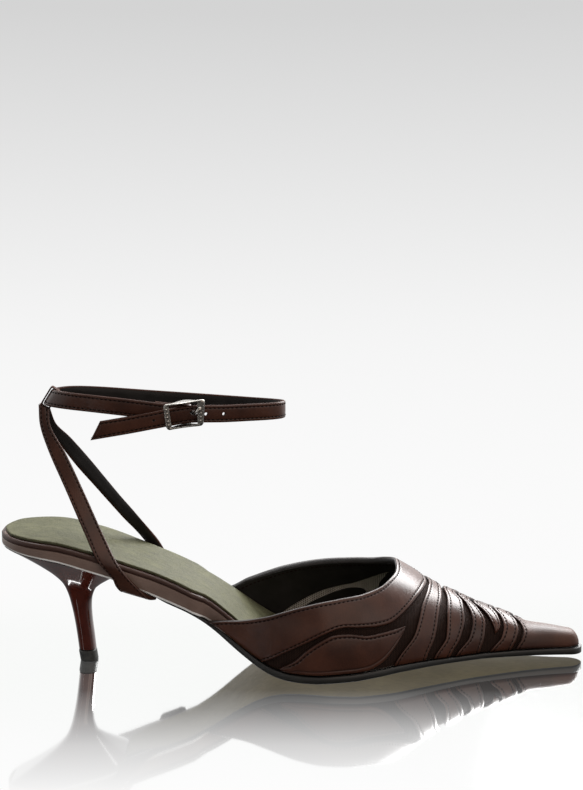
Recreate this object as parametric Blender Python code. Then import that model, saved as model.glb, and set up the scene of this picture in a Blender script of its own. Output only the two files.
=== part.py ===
"""Right shoe with a pointed toe, a kitten heel and a buckled ankle strap.

The shoe stands on its heel tip and forefoot at Z = 0, with the toe to +X and its outer side to -Y.
Tables and working functions are in millimetres: x runs from the back of the heel seat to the toe,
y from the heel's centre line with the outer side negative, and z up from the floor. place() turns
them into the part's own frame in metres.
"""

import math

import bmesh
import bpy
import numpy as np

# Driving dimensions, in millimetres
LENGTH = 250.5
HEEL_ROUND = 26.0
TOE_ROUND = 6.0
UPPER_TIP = 249.3
UPPER_TIP_ROUND = 4.2
STATION_STEP = 8.0

GAP = 0.35
OVERLAY = 1.1
OVERLAY_GAP = 0.4
VAMP_WALL = 1.2
VAMP_FACE = OVERLAY + OVERLAY_GAP
VAMP_INSIDE = VAMP_FACE + VAMP_WALL
UPPER_COLUMNS = 24

SOLE_BEVEL = 0.6
SOLE_BACK = 53.0
SOLE_MARGIN = 0.4
SOCK_THICKNESS = 1.0
SOCK_MARGIN = 1.6
INSOLE_TOE = 236.0
VAMP_BACK = 89.5
INSOLE_TUCK = VAMP_INSIDE + 2.0 * GAP

HEEL_TIP_HEIGHT = 5.0
HEEL_SIDES = 24
CUP_RINGS = 4

STRAP_WIDTH = 7.3
STRAP_THICKNESS = 1.6
STRAP_BEVEL = 0.4
STRAP_LEAN = 0.62
TAIL_SKEW = 2.75
SLING_THICKNESS = 1.7

BUCKLE_CENTRE = np.array([80.1, -22.5, 111.25])
BUCKLE_TILT = math.radians(8.0)
BUCKLE_LENGTH = 16.4
BUCKLE_HEIGHT = 10.8
BUCKLE_BOW = 5.9
BUCKLE_BOW_REACH = 5.0
BUCKLE_LOW_REACH = 6.2
BUCKLE_SPLAY = 0.21
BUCKLE_BAR_DEPTH = 1.8
BUCKLE_RAIL = 1.0
BUCKLE_REAR_BAR = 2.2
BUCKLE_FRONT_BAR = 2.9
PIVOT_RADIUS = 0.7
PRONG_RADIUS = 0.75
PRONG_SLOT = 3.2
HOLE_LENGTH = 4.4
HOLE_HEIGHT = 2.4


def table(columns, *rows):
    """Columns of a table by name, each as an array."""
    names = columns.split()
    return {name: np.array([row[i] for row in rows], float) for i, name in enumerate(names)}


# Plan of the last at its widest edge: centre of the width and half of it
OUTLINE = table(
    "x axis half",
    (0, 0.0, 24.5), (26, 0.0, 24.7), (42, -0.2, 25.2), (55, -0.5, 24.0), (68, -1.0, 22.7), (85, -2.5, 23.0),
    (104, -4.0, 27.0), (116, -5.0, 31.5), (128, -5.2, 35.2), (140, -4.5, 37.5), (150, -3.2, 37.7),
    (160, -1.0, 36.0), (170, 1.2, 32.7), (182, 3.4, 27.5), (194, 4.7, 22.2), (206, 5.2, 17.2),
    (218, 5.1, 13.1), (230, 4.8, 9.7), (242, 4.4, 7.2), (252, 4.2, 5.8))

# Side of the last: the edge of the insole's underside, how far the middle of the tread hangs below
# that edge, and the height of the insole's top
SIDE = table(
    "x seat crown top",
    (0, 53.4, 0.0, 58.4), (8, 52.0, 0.0, 57.8), (24, 49.7, 0.0, 56.5), (38, 45.8, 0.0, 53.2),
    (48, 42.6, 0.0, 50.1), (58, 38.2, 0.0, 46.5), (71, 32.6, 0.0, 41.6), (80, 28.8, 0.0, 37.6),
    (90, 23.6, 0.3, 32.4), (97, 19.4, 0.8, 27.7), (103, 15.2, 1.4, 23.4), (110, 10.6, 2.0, 18.1),
    (117, 7.4, 2.6, 13.4), (124, 6.0, 3.0, 10.2), (131, 5.7, 3.2, 8.6), (144, 6.3, 3.7, 8.2),
    (160, 7.2, 4.5, 8.8), (170, 7.6, 4.4, 9.2), (182, 7.2, 3.4, 9.2), (194, 6.7, 2.3, 9.0),
    (206, 6.5, 1.5, 8.8), (218, 6.3, 0.9, 8.6), (230, 6.1, 0.5, 8.4), (252, 5.8, 0.1, 8.2))

# Top of the vamp: height of its ridge, how far the ridge lies towards the inner side, and the
# exponent of the section, where 2 is an ellipse and more is fuller
VAMP = table(
    "x ridge shift full",
    (85, 63.0, 3.0, 2.20), (100, 61.0, 3.3, 2.23), (120, 57.0, 3.6, 2.25), (140, 52.5, 3.9, 2.28),
    (150, 49.8, 4.0, 2.30), (160, 46.8, 3.5, 2.30), (169, 43.0, 2.8, 2.30), (176, 39.0, 2.4, 2.30),
    (182, 35.0, 2.0, 2.30), (189, 31.0, 1.7, 2.30), (196, 28.0, 1.4, 2.30), (202, 25.0, 1.2, 2.32),
    (211, 21.6, 0.9, 2.40), (217, 19.6, 0.8, 2.45), (222, 17.4, 0.7, 2.50), (227, 14.9, 0.6, 2.52),
    (236, 13.8, 0.4, 2.55), (242, 12.8, 0.2, 2.60), (252, 11.4, 0.0, 2.60))

# How far the outsole lies inside the outline on each side, and its thickness: it leaves room for the
# straps at the waist, more on the inner side, and fills the outline in front
OUTSOLE = table(
    "x outer inner thick",
    (53, 12.0, 12.0, 1.1), (60, 8.6, 9.0, 1.1), (66, 4.4, 7.4, 1.0), (72, 1.8, 6.4, 0.9),
    (79, 1.6, 5.4, 0.9), (86, 1.5, 2.6, 1.1), (92, 1.3, 1.4, 1.8), (99, 0.6, 0.6, 2.8),
    (106, 0.0, 0.0, 3.0), (170, 0.0, 0.0, 2.8),
    (194, -SOLE_MARGIN, -SOLE_MARGIN, 2.2), (206, -SOLE_MARGIN, -SOLE_MARGIN, 2.2),
    (218, -SOLE_MARGIN, -SOLE_MARGIN, 2.4), (252, -SOLE_MARGIN, -SOLE_MARGIN, 3.0))

# Collar band on the outer and on the inner side, from the waist at the sole to the ridge: its edge at
# the throat and its lower edge, each by x and by its place around the section (0 at the sole of that
# side, 0.5 on the ridge)
EDGE_COLUMNS = "top_x top_around low_x low_around"
COLLAR_OUTER = table(
    EDGE_COLUMNS,
    (VAMP_BACK, 0.000, 112.0, 0.000), (101.8, 0.058, 122.6, 0.048), (112.7, 0.112, 131.0, 0.079),
    (122.9, 0.155, 139.0, 0.108), (133.5, 0.189, 145.4, 0.124), (144.0, 0.216, 152.5, 0.126),
    (154.5, 0.247, 160.5, 0.130), (161.2, 0.285, 166.2, 0.148), (165.6, 0.340, 171.7, 0.201),
    (168.0, 0.390, 176.4, 0.275), (169.0, 0.440, 180.4, 0.375), (169.2, 0.500, 182.4, 0.500))
COLLAR_INNER = table(
    EDGE_COLUMNS,
    (VAMP_BACK - 1.5, 0.000, 113.5, 0.000), (97.5, 0.050, 122.0, 0.049), (106.0, 0.112, 131.0, 0.087),
    (117.5, 0.171, 138.5, 0.112), (128.5, 0.206, 146.0, 0.131), (140.5, 0.234, 152.5, 0.148),
    (151.5, 0.260, 158.8, 0.181), (160.0, 0.290, 164.0, 0.222), (165.2, 0.340, 168.5, 0.270),
    (168.0, 0.390, 173.5, 0.330), (169.0, 0.440, 178.5, 0.410), (169.2, 0.500, 182.4, 0.500))

# Leaf panels on the outer and on the inner side, from the rear tip to the front tip: upper edge and
# lower edge
LEAF_OUTER = table(
    EDGE_COLUMNS,
    (119.0, 0.004, 120.0, 0.000), (125.7, 0.030, 127.0, 0.000), (130.0, 0.056, 134.0, 0.000),
    (136.0, 0.084, 140.0, 0.000), (141.4, 0.102, 146.0, 0.000), (149.0, 0.106, 152.0, 0.000),
    (155.0, 0.101, 158.0, 0.004), (161.0, 0.108, 163.0, 0.022), (167.0, 0.120, 167.0, 0.056),
    (171.4, 0.134, 170.6, 0.108))
LEAF_INNER = table(
    EDGE_COLUMNS,
    (121.0, 0.004, 120.0, 0.000), (126.0, 0.030, 127.0, 0.000), (130.5, 0.060, 134.0, 0.000),
    (134.5, 0.075, 140.0, 0.000), (138.0, 0.086, 146.0, 0.000), (143.5, 0.104, 150.0, 0.000),
    (148.8, 0.118, 154.0, 0.004), (153.0, 0.123, 157.0, 0.020), (156.5, 0.120, 158.5, 0.050),
    (158.5, 0.100, 159.0, 0.085))

# Strips over the vamp: x of each edge at the sole, low on the side, at the shoulder, above it and on
# the ridge; around those rows the edge bows forward and then sweeps back
STRIP_AROUND = np.array([0.0, 0.1, 0.25, 0.4, 0.5])
STRIPS = {
    "strip_1": ((166.4, 175.2, 179.0, 182.4, 183.5), (180.4, 184.5, 186.6, 188.7, 189.1)),
    "strip_2": ((183.7, 189.2, 190.1, 190.8, 190.2), (191.1, 195.8, 198.0, 198.0, 195.2)),
    "strip_3": ((193.4, 199.4, 201.3, 199.6, 196.4), (204.3, 206.4, 207.2, 204.6, 201.4)),
    "strip_5": ((208.8, 213.6, 215.2, 214.3, 212.3), (218.5, 220.8, 221.9, 221.4, 219.2)),
}
TOE_CAP_EDGE = (220.4, 222.8, 224.0, 223.2, 220.8)

# The short strip, whose two edges meet in a point half way down each side
POINTED_AROUND = np.array([0.147, 0.18, 0.25, 0.4, 0.5])
POINTED_STRIP = ((211.2, 211.1, 210.2, 206.8, 203.2), (211.2, 212.5, 213.8, 213.1, 211.4))

# Stem of the heel from its neck down to the tip: back and front points of each ring and its half width.
# Above the neck a cup opens to the heel seat
HEEL = table(
    "back_x back_z front_x front_z half full",
    (25.4, 34.6, 39.4, 31.6, 6.6, 2.2), (27.2, 31.0, 38.3, 29.0, 5.7, 2.2),
    (28.4, 27.2, 37.8, 26.4, 5.3, 2.2), (29.9, 20.5, 37.8, 20.5, 4.9, 2.3),
    (31.0, 13.5, 38.5, 13.5, 4.6, 2.4),
    (32.0, HEEL_TIP_HEIGHT + GAP, 39.3, HEEL_TIP_HEIGHT + GAP, 4.4, 2.5))
HEEL_SEAT = {"back_x": 2.0, "front_x": 52.2, "half": 24.0, "full": 3.2, "inset": 0.6}
CUP_DRAW = 1.25
HEEL_TIP = table(
    "back_x back_z front_x front_z half full",
    (31.9, HEEL_TIP_HEIGHT, 39.5, HEEL_TIP_HEIGHT, 4.6, 2.5), (32.5, 0.5, 40.1, 0.5, 4.6, 2.5),
    (32.9, 0.0, 39.8, 0.0, 4.2, 2.5))

# Sling straps from their ends under the insole to the loop: rear edge and front edge of each row
SLING_COLUMNS = "rear_x rear_y rear_z front_x front_y front_z"
SLING_LATERAL = table(
    SLING_COLUMNS,
    (56.8, -20.6, 36.9, 67.4, -20.9, 33.0), (54.2, -22.8, 37.4, 66.2, -22.5, 33.4),
    (52.4, -24.8, 38.2, 64.8, -24.3, 34.3), (50.9, -26.0, 40.2, 62.4, -25.3, 36.6),
    (49.6, -26.4, 43.2, 59.0, -25.9, 40.2), (43.6, -26.8, 50.6, 52.4, -26.4, 48.6),
    (38.4, -22.0, 60.0, 46.4, -21.0, 58.6), (29.4, -13.6, 77.6, 37.8, -14.0, 75.4),
    (21.4, -7.0, 93.6, 29.4, -8.2, 91.6), (17.6, -3.2, 104.0, 22.4, -4.0, 103.2),
    (16.9, -1.3, 112.2, 21.4, -1.5, 110.0))
SLING_MEDIAL = table(
    SLING_COLUMNS,
    (68.6, 18.8, 32.3, 76.6, 18.3, 28.8), (66.6, 21.2, 33.2, 75.2, 20.2, 29.5),
    (65.2, 23.1, 34.6, 73.8, 22.2, 31.2), (63.8, 24.1, 37.2, 71.8, 23.2, 34.2),
    (61.4, 24.6, 42.0, 69.0, 23.8, 39.6), (58.4, 24.0, 47.6, 65.6, 24.0, 45.8),
    (50.6, 16.6, 58.5, 55.0, 19.0, 61.0), (44.6, 12.5, 66.9, 49.2, 15.6, 69.0),
    (38.6, 9.4, 75.0, 43.3, 12.6, 77.4), (31.3, 6.2, 84.6, 36.4, 9.4, 87.2),
    (24.6, 3.8, 94.5, 29.0, 5.8, 97.0), (19.6, 2.4, 102.6, 23.6, 3.2, 103.2),
    (16.9, 1.3, 112.1, 21.3, 1.5, 110.1))
LOOP_WALL = 0.6
LOOP_HALF_WIDTH = 1.8
LOOP_CORNER = 0.22
LOOP_ROOM = 1.0
LOOP_CLEARANCE = 0.56

# Ankle strap along its middle: the folded end behind the pivot, back around the heel, along the inner
# side to the front, and back through the buckle to the tail
ANKLE = table(
    "x y z",
    (67.0, -15.2, 112.2), (73.0, -14.95, 111.4), (77.6, -14.4, 111.2), (79.6, -14.3, 111.2),
    (81.1, -14.9, 111.2), (81.7, -16.4, 111.2), (81.1, -17.9, 111.2), (79.6, -18.5, 111.2),
    (77.0, -18.3, 111.2), (72.0, -17.7, 111.5), (66.5, -17.3, 112.1), (57.0, -16.6, 113.2),
    (44.0, -14.2, 114.3), (31.0, -9.6, 115.0), (25.3, -6.0, 115.2), (22.4, -2.9, 115.2),
    (21.4, 0.0, 115.2), (22.4, 2.9, 115.2), (25.3, 6.0, 115.2), (31.0, 9.2, 115.0),
    (41.0, 12.4, 114.2), (62.0, 15.8, 112.2), (84.0, 16.4, 110.6), (105.0, 13.2, 109.6),
    (115.5, 8.4, 109.6), (119.8, 3.6, 109.9), (120.6, -0.6, 110.2), (119.3, -5.0, 110.4),
    (114.6, -9.4, 110.6), (106.0, -13.6, 110.8), (96.0, -17.2, 110.9),
    (89.0, -19.4, 111.2), (84.0, -20.3, 111.3), (79.6, -20.5, 110.9), (74.0, -20.2, 109.9),
    (67.0, -19.7, 108.5), (57.0, -19.2, 106.5), (42.8, -18.8, 104.0))
ANKLE_STATIONS = 72
PIVOT = np.array([79.6, -16.4, 111.2])
PRONG_HOLE = np.array([83.9, -20.4, 112.0])
PRONG_BEND = np.array([84.3, -23.2, 112.3])
PRONG_REST = np.array([85.3, -24.6, 113.1])
PRONG_TIP = np.array([87.1, -24.6, 114.7])


def smooth(xs, ys):
    """A smooth curve through the points that rises and falls only where they do."""
    steps = np.diff(xs)
    slopes = np.diff(ys) / steps
    tangents = np.zeros(len(xs))
    tangents[0] = slopes[0]
    tangents[-1] = slopes[-1]
    for i in range(1, len(xs) - 1):
        before, after = slopes[i - 1], slopes[i]
        if before * after > 0:
            weight_before = 2 * steps[i] + steps[i - 1]
            weight_after = steps[i] + 2 * steps[i - 1]
            tangents[i] = (weight_before + weight_after) / (weight_before / before + weight_after / after)

    def curve(x):
        x = np.clip(np.asarray(x, float), xs[0], xs[-1])
        k = np.clip(np.searchsorted(xs, x) - 1, 0, len(steps) - 1)
        t = (x - xs[k]) / steps[k]
        value = (1 + 2 * t) * (1 - t) ** 2 * ys[k] + t * t * (3 - 2 * t) * ys[k + 1]
        return value + steps[k] * t * (1 - t) * ((1 - t) * tangents[k] - t * tangents[k + 1])

    return curve


def through(points, count):
    """Points along a smooth curve through the given rows, closer together where the rows are."""
    chord = np.linalg.norm(np.diff(points, axis=0), axis=1)
    along = np.concatenate([[0.0], np.cumsum(np.sqrt(chord))])
    tangents = np.gradient(points, along, axis=0)
    places = np.linspace(0.0, along[-1], count)
    k = np.clip(np.searchsorted(along, places) - 1, 0, len(along) - 2)
    step = (along[k + 1] - along[k])[:, None]
    t = (places - along[k])[:, None] / step
    curve = (1 + 2 * t) * (1 - t) ** 2 * points[k] + t * t * (3 - 2 * t) * points[k + 1]
    return curve + step * t * (1 - t) * ((1 - t) * tangents[k] - t * tangents[k + 1])


axis = smooth(OUTLINE["x"], OUTLINE["axis"])
half_width = smooth(OUTLINE["x"], OUTLINE["half"])
seat_edge = smooth(SIDE["x"], SIDE["seat"])
crown = smooth(SIDE["x"], SIDE["crown"])
insole_top = smooth(SIDE["x"], SIDE["top"])
ridge = smooth(VAMP["x"], VAMP["ridge"])
ridge_shift = smooth(VAMP["x"], VAMP["shift"])
fullness = smooth(VAMP["x"], VAMP["full"])
outsole_outer = smooth(OUTSOLE["x"], OUTSOLE["outer"])
outsole_inner = smooth(OUTSOLE["x"], OUTSOLE["inner"])
outsole_thick = smooth(OUTSOLE["x"], OUTSOLE["thick"])


def both_sides(outer, inner):
    """Rows of one side up to the ridge, continued by those of the other side down to the sole."""
    rows = {}
    for name, values in outer.items():
        back = inner[name][-2::-1]
        rows[name] = np.concatenate([values, 1.0 - back if name.endswith("around") else back])
    return rows


COLLAR = both_sides(COLLAR_OUTER, COLLAR_INNER)


def end_round(distance, run):
    """Share of the full width that is left at a distance from a rounded end."""
    return np.sqrt(np.clip(1.0 - (1.0 - np.clip(distance / run, 0.0, 1.0)) ** 2, 0.0, 1.0))


def seat(x, y):
    """Underside of the insole: level across at the heel, hanging down in the middle of the tread."""
    across = np.clip((y - axis(x)) / half_width(x), -1.0, 1.0)
    return seat_edge(x) - crown(x) * (1.0 - across ** 2)


def width_of(outline):
    lateral = np.max(half_width(outline) - axis(outline))
    medial = np.max(half_width(outline) + axis(outline))
    return lateral + SOLE_MARGIN, medial + SOLE_MARGIN


LATERAL_REACH, MEDIAL_REACH = width_of(np.linspace(0.0, LENGTH, 1000))
MIDDLE = np.array([LENGTH / 2, (MEDIAL_REACH - LATERAL_REACH) / 2, 0.0])
MILLIMETRE = 0.001


def place(points):
    """Points of the tables in the part's own frame, in metres."""
    return (np.asarray(points, float).reshape(-1, 3) - MIDDLE) * MILLIMETRE


def material(name, colour, roughness, metallic=0.0):
    made = bpy.data.materials.new(name)
    made.use_nodes = True
    shader = made.node_tree.nodes["Principled BSDF"]
    shader.inputs["Base Color"].default_value = (*colour, 1.0)
    shader.inputs["Roughness"].default_value = roughness
    shader.inputs["Metallic"].default_value = metallic
    return made


def add_object(name, points, faces, finish):
    """One closed mesh object; points that coincide at a tip are joined and the faces turned outward."""
    mesh = bpy.data.meshes.new(name)
    mesh.from_pydata([tuple(point) for point in place(points)], [], faces)
    work = bmesh.new()
    work.from_mesh(mesh)
    bmesh.ops.remove_doubles(work, verts=work.verts, dist=0.00001)
    bmesh.ops.dissolve_degenerate(work, edges=work.edges, dist=0.000005)
    bmesh.ops.recalc_face_normals(work, faces=work.faces)
    work.to_mesh(mesh)
    work.free()
    mesh.materials.append(finish)
    mesh.shade_smooth()
    mesh.set_sharp_from_angle(angle=math.radians(40.0))
    made = bpy.data.objects.new(name, mesh)
    bpy.context.collection.objects.link(made)
    return made


def border(rows, columns):
    """Grid places around the border, in order."""
    around = [(i, 0) for i in range(rows)]
    around += [(rows - 1, j) for j in range(1, columns)]
    around += [(i, columns - 1) for i in range(rows - 2, -1, -1)]
    around += [(0, j) for j in range(columns - 2, 0, -1)]
    return around


def layered(name, levels, finish):
    """A solid between the first and last of several like grids, walled along their borders."""
    rows, columns = levels[0].shape[:2]
    edge = border(rows, columns)
    size = rows * columns
    points = [levels[0].reshape(-1, 3), levels[-1].reshape(-1, 3)]
    faces = []
    for base in (0, size):
        for i in range(rows - 1):
            for j in range(columns - 1):
                a = base + i * columns + j
                faces.append((a, a + 1, a + columns + 1, a + columns))
    loops = [[i * columns + j for i, j in edge]]
    start = 2 * size
    for level in levels[1:-1]:
        points.append(np.array([level[i, j] for i, j in edge]))
        loops.append(list(range(start, start + len(edge))))
        start += len(edge)
    loops.append([size + i * columns + j for i, j in edge])
    for low, high in zip(loops, loops[1:]):
        for k in range(len(edge)):
            n = (k + 1) % len(edge)
            faces.append((low[k], low[n], high[n], high[k]))
    return add_object(name, np.concatenate(points), faces, finish)


def stations(start, end, start_round, end_round_length):
    """Places along the shoe, close together in the rounded ends and evenly spread between."""
    turn = 1.0 - np.cos(np.linspace(0.0, math.pi / 2, 5))
    inner = np.arange(0.0, LENGTH, STATION_STEP)
    clear = STATION_STEP * 0.4
    inner = inner[(inner > start + start_round + clear) & (inner < end - end_round_length - clear)]
    return np.concatenate([start + start_round * turn, inner, (end - end_round_length * turn)[::-1]])


def level_grid(xs, outer, inner, columns, height):
    """A grid over the plan: each row spans the half widths to both sides at its x, at the given height."""
    across = np.linspace(0.0, 1.0, columns)
    x = np.repeat(xs[:, None], columns, axis=1)
    y = (axis(xs) - outer)[:, None] + (outer + inner)[:, None] * across[None, :]
    return np.stack([x, y, height(x, y)], axis=-1)


def outsole_underside(x, y):
    """Bottom of the outsole, flat on the floor under the ball."""
    return np.maximum(seat(x, y) - GAP - outsole_thick(x), 0.0)


def make_outsole(finish):
    xs = stations(SOLE_BACK, LENGTH, 4.0, TOE_ROUND)
    share = end_round(LENGTH - xs, TOE_ROUND)
    outer = (half_width(xs) - outsole_outer(xs)) * share
    inner = (half_width(xs) - outsole_inner(xs)) * share
    bevel = np.minimum(SOLE_BEVEL, inner)
    edges = [
        level_grid(xs, outer - bevel, inner - bevel, 7, outsole_underside),
        level_grid(xs, outer, inner, 7, lambda x, y: outsole_underside(x, y) + SOLE_BEVEL),
        level_grid(xs, outer, inner, 7, lambda x, y: seat(x, y) - GAP),
    ]
    return layered("outsole", edges, finish)


def insole_half(xs, inset):
    """Half width of the insole: the whole outline at the heel and waist, inside the vamp in front."""
    inside = np.clip((xs - (VAMP_BACK - 7.0)) / 6.0, 0.0, 1.0)
    tuck = INSOLE_TUCK * inside * inside * (3.0 - 2.0 * inside)
    full = half_width(xs) - tuck
    share = end_round(xs, HEEL_ROUND) * end_round(INSOLE_TOE - xs, 14.0)
    return full * share - np.minimum(inset, full * share)


def make_insole(finish):
    """The covered platform, whose side has a bead along its top edge and a crease under the bead."""
    rim = table(
        "inset below_top share",
        (0.9, 0.0, 0.0), (0.0, 0.0, 0.1), (0.0, 2.7, 1.0), (0.8, 2.2, 1.0), (0.1, 1.2, 1.0),
        (0.8, 0.2, 1.0), (2.2, 0.0, 1.0))
    levels = []
    for inset, below_top, share in zip(rim["inset"], rim["below_top"], rim["share"]):
        xs = stations(0.0, INSOLE_TOE, HEEL_ROUND, 14.0)
        xs = inset + (INSOLE_TOE - 2.0 * inset) * xs / INSOLE_TOE

        def height(x, y, below=below_top, part=share):
            low = seat(x, y)
            thick = insole_top(x) - (seat_edge(x) - seat(x, y)) - low
            depth = np.minimum(below, 0.5 * thick)
            return low + thick * part - depth

        half = insole_half(xs, inset)
        levels.append(level_grid(xs, half, half, 4, height))
    return layered("insole", levels, finish)


def make_sock(finish):
    xs = stations(SOCK_MARGIN, INSOLE_TOE - SOCK_MARGIN, HEEL_ROUND, 14.0)
    half = insole_half(xs, 0.0)
    half = (half - np.minimum(SOCK_MARGIN, half)) * end_round(xs - SOCK_MARGIN, 5.0)
    half = half * end_round(INSOLE_TOE - SOCK_MARGIN - xs, 5.0)

    def bottom(x, y):
        return insole_top(x) - (seat_edge(x) - seat(x, y)) + GAP

    levels = [
        level_grid(xs, half, half, 4, bottom),
        level_grid(xs, half, half, 4, lambda x, y: bottom(x, y) + SOCK_THICKNESS),
    ]
    return layered("sock", levels, finish)


def upper_point(x, around, inset):
    """A point of the upper: x along the shoe, around its section from the outer side of the sole (0)
    over the ridge (0.5) to the inner side (1), and inset into the shoe from the overlays' face."""
    tip = UPPER_TIP - inset
    x = np.minimum(x, tip)
    half = (half_width(x) - inset) * end_round(tip - x, TOE_ROUND)
    shift = np.minimum(ridge_shift(x), 0.3 * half)
    cosine = np.cos(math.pi * around)
    sine = np.clip(np.sin(math.pi * around), 0.0, 1.0)
    power = 2.0 / fullness(x)
    reach = np.where(cosine > 0.0, -(half + shift), half - shift)
    rise = (ridge(x) - inset - seat_edge(x)) * end_round(tip - x, UPPER_TIP_ROUND)
    y = axis(x) + shift + reach * np.abs(cosine) ** power
    z = seat_edge(x) + rise * sine ** power
    return np.stack(np.broadcast_arrays(x, y, z), axis=-1)


def upper_patch(name, start_x, end_x, around, finish, outside, inside, shares):
    """A piece of the upper between two edges, with a wall from the outside inset to the inside one."""
    levels = []
    for inset in (inside, outside):
        last = np.minimum(end_x, UPPER_TIP - inset)
        x = start_x + (last - start_x) * shares[:, None]
        levels.append(upper_point(x, around * np.ones_like(x), inset))
    return layered(name, levels, finish)


def toe_shares(even, turned, turn_share):
    """Shares of the way to the tip: even steps, then closer ones where the toe turns down."""
    first = np.linspace(0.0, 1.0 - turn_share, even, endpoint=False)
    turn = np.sin(np.linspace(0.0, math.pi / 2, turned))
    return np.concatenate([first, 1.0 - turn_share + turn_share * turn])


def mirrored(around, values):
    """Places and values given up to the ridge, continued down the other side."""
    return np.concatenate([around, 1.0 - around[-2::-1]]), np.concatenate([values, values[-2::-1]])


def edge_curve(around, values):
    return smooth(*mirrored(np.asarray(around, float), np.asarray(values, float)))


def make_vamp(finish):
    around = np.linspace(0.0, 1.0, UPPER_COLUMNS + 1)
    start = smooth(COLLAR["top_around"], COLLAR["top_x"])(around)
    shares = toe_shares(15, 6, 0.09)
    tip = np.full_like(around, UPPER_TIP)
    return upper_patch("vamp", start, tip, around, finish, VAMP_FACE, VAMP_INSIDE, shares)


def make_strip(name, rear, front, rows_around, finish):
    columns = UPPER_COLUMNS + 1
    around = np.linspace(rows_around[0], 1.0 - rows_around[0], columns)
    start = edge_curve(rows_around, rear)(around)
    end = edge_curve(rows_around, front)(around)
    return upper_patch(name, start, end, around, finish, 0.0, OVERLAY, np.linspace(0.0, 1.0, 3))


def make_toe_cap(finish):
    around = np.linspace(0.0, 1.0, UPPER_COLUMNS + 1)
    start = edge_curve(STRIP_AROUND, TOE_CAP_EDGE)(around)
    tip = np.full_like(around, UPPER_TIP)
    return upper_patch("toe_cap", start, tip, around, finish, 0.0, OVERLAY, toe_shares(4, 5, 0.27))


def band_patch(name, rows, count, across, finish):
    """An overlay between two edges that run along the shoe, given row by row."""
    path = through(np.stack([rows[c] for c in rows], axis=1) * [1.0, 100.0, 1.0, 100.0], count)
    share = np.linspace(0.0, 1.0, across)[:, None]
    x = path[:, 0] + (path[:, 2] - path[:, 0]) * share
    around = (path[:, 1] + (path[:, 3] - path[:, 1]) * share) / 100.0
    levels = [upper_point(x, np.clip(around, 0.0, 1.0), inset) for inset in (OVERLAY, 0.0)]
    return layered(name, levels, finish)


def make_collar(finish):
    """The band from the outer side of the waist, around the throat, to the inner side."""
    return band_patch("collar", COLLAR, 45, 4, finish)


def make_leaves(finish):
    band_patch("leaf_lateral", LEAF_OUTER, 17, 4, finish)
    rows = dict(LEAF_INNER)
    for column in ("top_around", "low_around"):
        rows[column] = 1.0 - rows[column]
    band_patch("leaf_medial", rows, 17, 4, finish)


def ring(back, front, half, full, sides):
    """A closed ring through a back and a front point, symmetrical across the shoe."""
    angle = np.linspace(0.0, 2.0 * math.pi, sides, endpoint=False)
    power = 2.0 / full
    along = -np.sign(np.cos(angle)) * np.abs(np.cos(angle)) ** power
    across = np.sign(np.sin(angle)) * np.abs(np.sin(angle)) ** power
    middle = (np.asarray(back) + np.asarray(front)) / 2.0
    reach = (np.asarray(front) - np.asarray(back)) / 2.0
    points = middle + along[:, None] * reach
    points[:, 1] += across * half
    return points


def loft(name, rings, finish):
    """A solid through rings of equal count, its ends closed by strips across."""
    count = len(rings[0])
    faces = []
    for k in range(len(rings) - 1):
        for i in range(count):
            n = (i + 1) % count
            faces.append((k * count + i, k * count + n, (k + 1) * count + n, (k + 1) * count + i))
    for base in (0, (len(rings) - 1) * count):
        for i in range(count // 2):
            quad = [base + i, base + i + 1, base + (count - i - 1) % count, base + (count - i) % count]
            faces.append(tuple(dict.fromkeys(quad)))
    return add_object(name, np.concatenate(rings), faces, finish)


def rings_of(rows):
    rings = []
    for i in range(len(rows["half"])):
        back = (rows["back_x"][i], 0.0, rows["back_z"][i])
        front = (rows["front_x"][i], 0.0, rows["front_z"][i])
        rings.append(ring(back, front, rows["half"][i], rows["full"][i], HEEL_SIDES))
    return rings


def make_heel(finish):
    """Stem and cup; the topmost ring lies under the insole and follows its edge."""
    top = ring((HEEL_SEAT["back_x"], 0.0, 0.0), (HEEL_SEAT["front_x"], 0.0, 0.0),
               HEEL_SEAT["half"], HEEL_SEAT["full"], HEEL_SIDES)
    limit = half_width(top[:, 0]) * end_round(top[:, 0], HEEL_ROUND) - HEEL_SEAT["inset"]
    limit = np.maximum(limit, 0.0)
    top[:, 1] = np.clip(top[:, 1], -limit, limit)
    top[:, 2] = seat(top[:, 0], top[:, 1]) - GAP
    stem = rings_of(HEEL)
    cup = []
    for share in np.linspace(0.0, 1.0, CUP_RINGS, endpoint=False):
        drawn = top + (stem[0] - top) * (1.0 - (1.0 - share) ** CUP_DRAW)
        drawn[:, 2] = top[:, 2] + (stem[0][:, 2] - top[:, 2]) * share
        cup.append(drawn)
    return loft("heel", cup + stem, finish)


def make_heel_tip(finish):
    return loft("heel_tip", rings_of(HEEL_TIP), finish)


def strap_rings(edge_a, edge_b, thickness):
    """Eight-sided sections of a flat strap whose two edges are given."""
    middle = (edge_a + edge_b) / 2.0
    width = edge_b - edge_a
    half = np.linalg.norm(width, axis=1)[:, None] / 2.0
    across = width / (2.0 * half)
    tangent = np.gradient(middle, axis=0)
    normal = np.cross(tangent, across)
    normal /= np.linalg.norm(normal, axis=1)[:, None]
    corners = [(1, -1), (1, 1), (-1, 1), (-1, -1)]
    sections = []
    for u, v in corners:
        for edge_first in (u == v, u != v):
            cut_width = 0.0 if edge_first else STRAP_BEVEL
            cut_thick = STRAP_BEVEL if edge_first else 0.0
            sideways = across * u * (half - cut_width)
            sections.append(middle + sideways + normal * v * (thickness / 2.0 - cut_thick))
    return [np.array([section[i] for section in sections]) for i in range(len(middle))]


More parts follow.
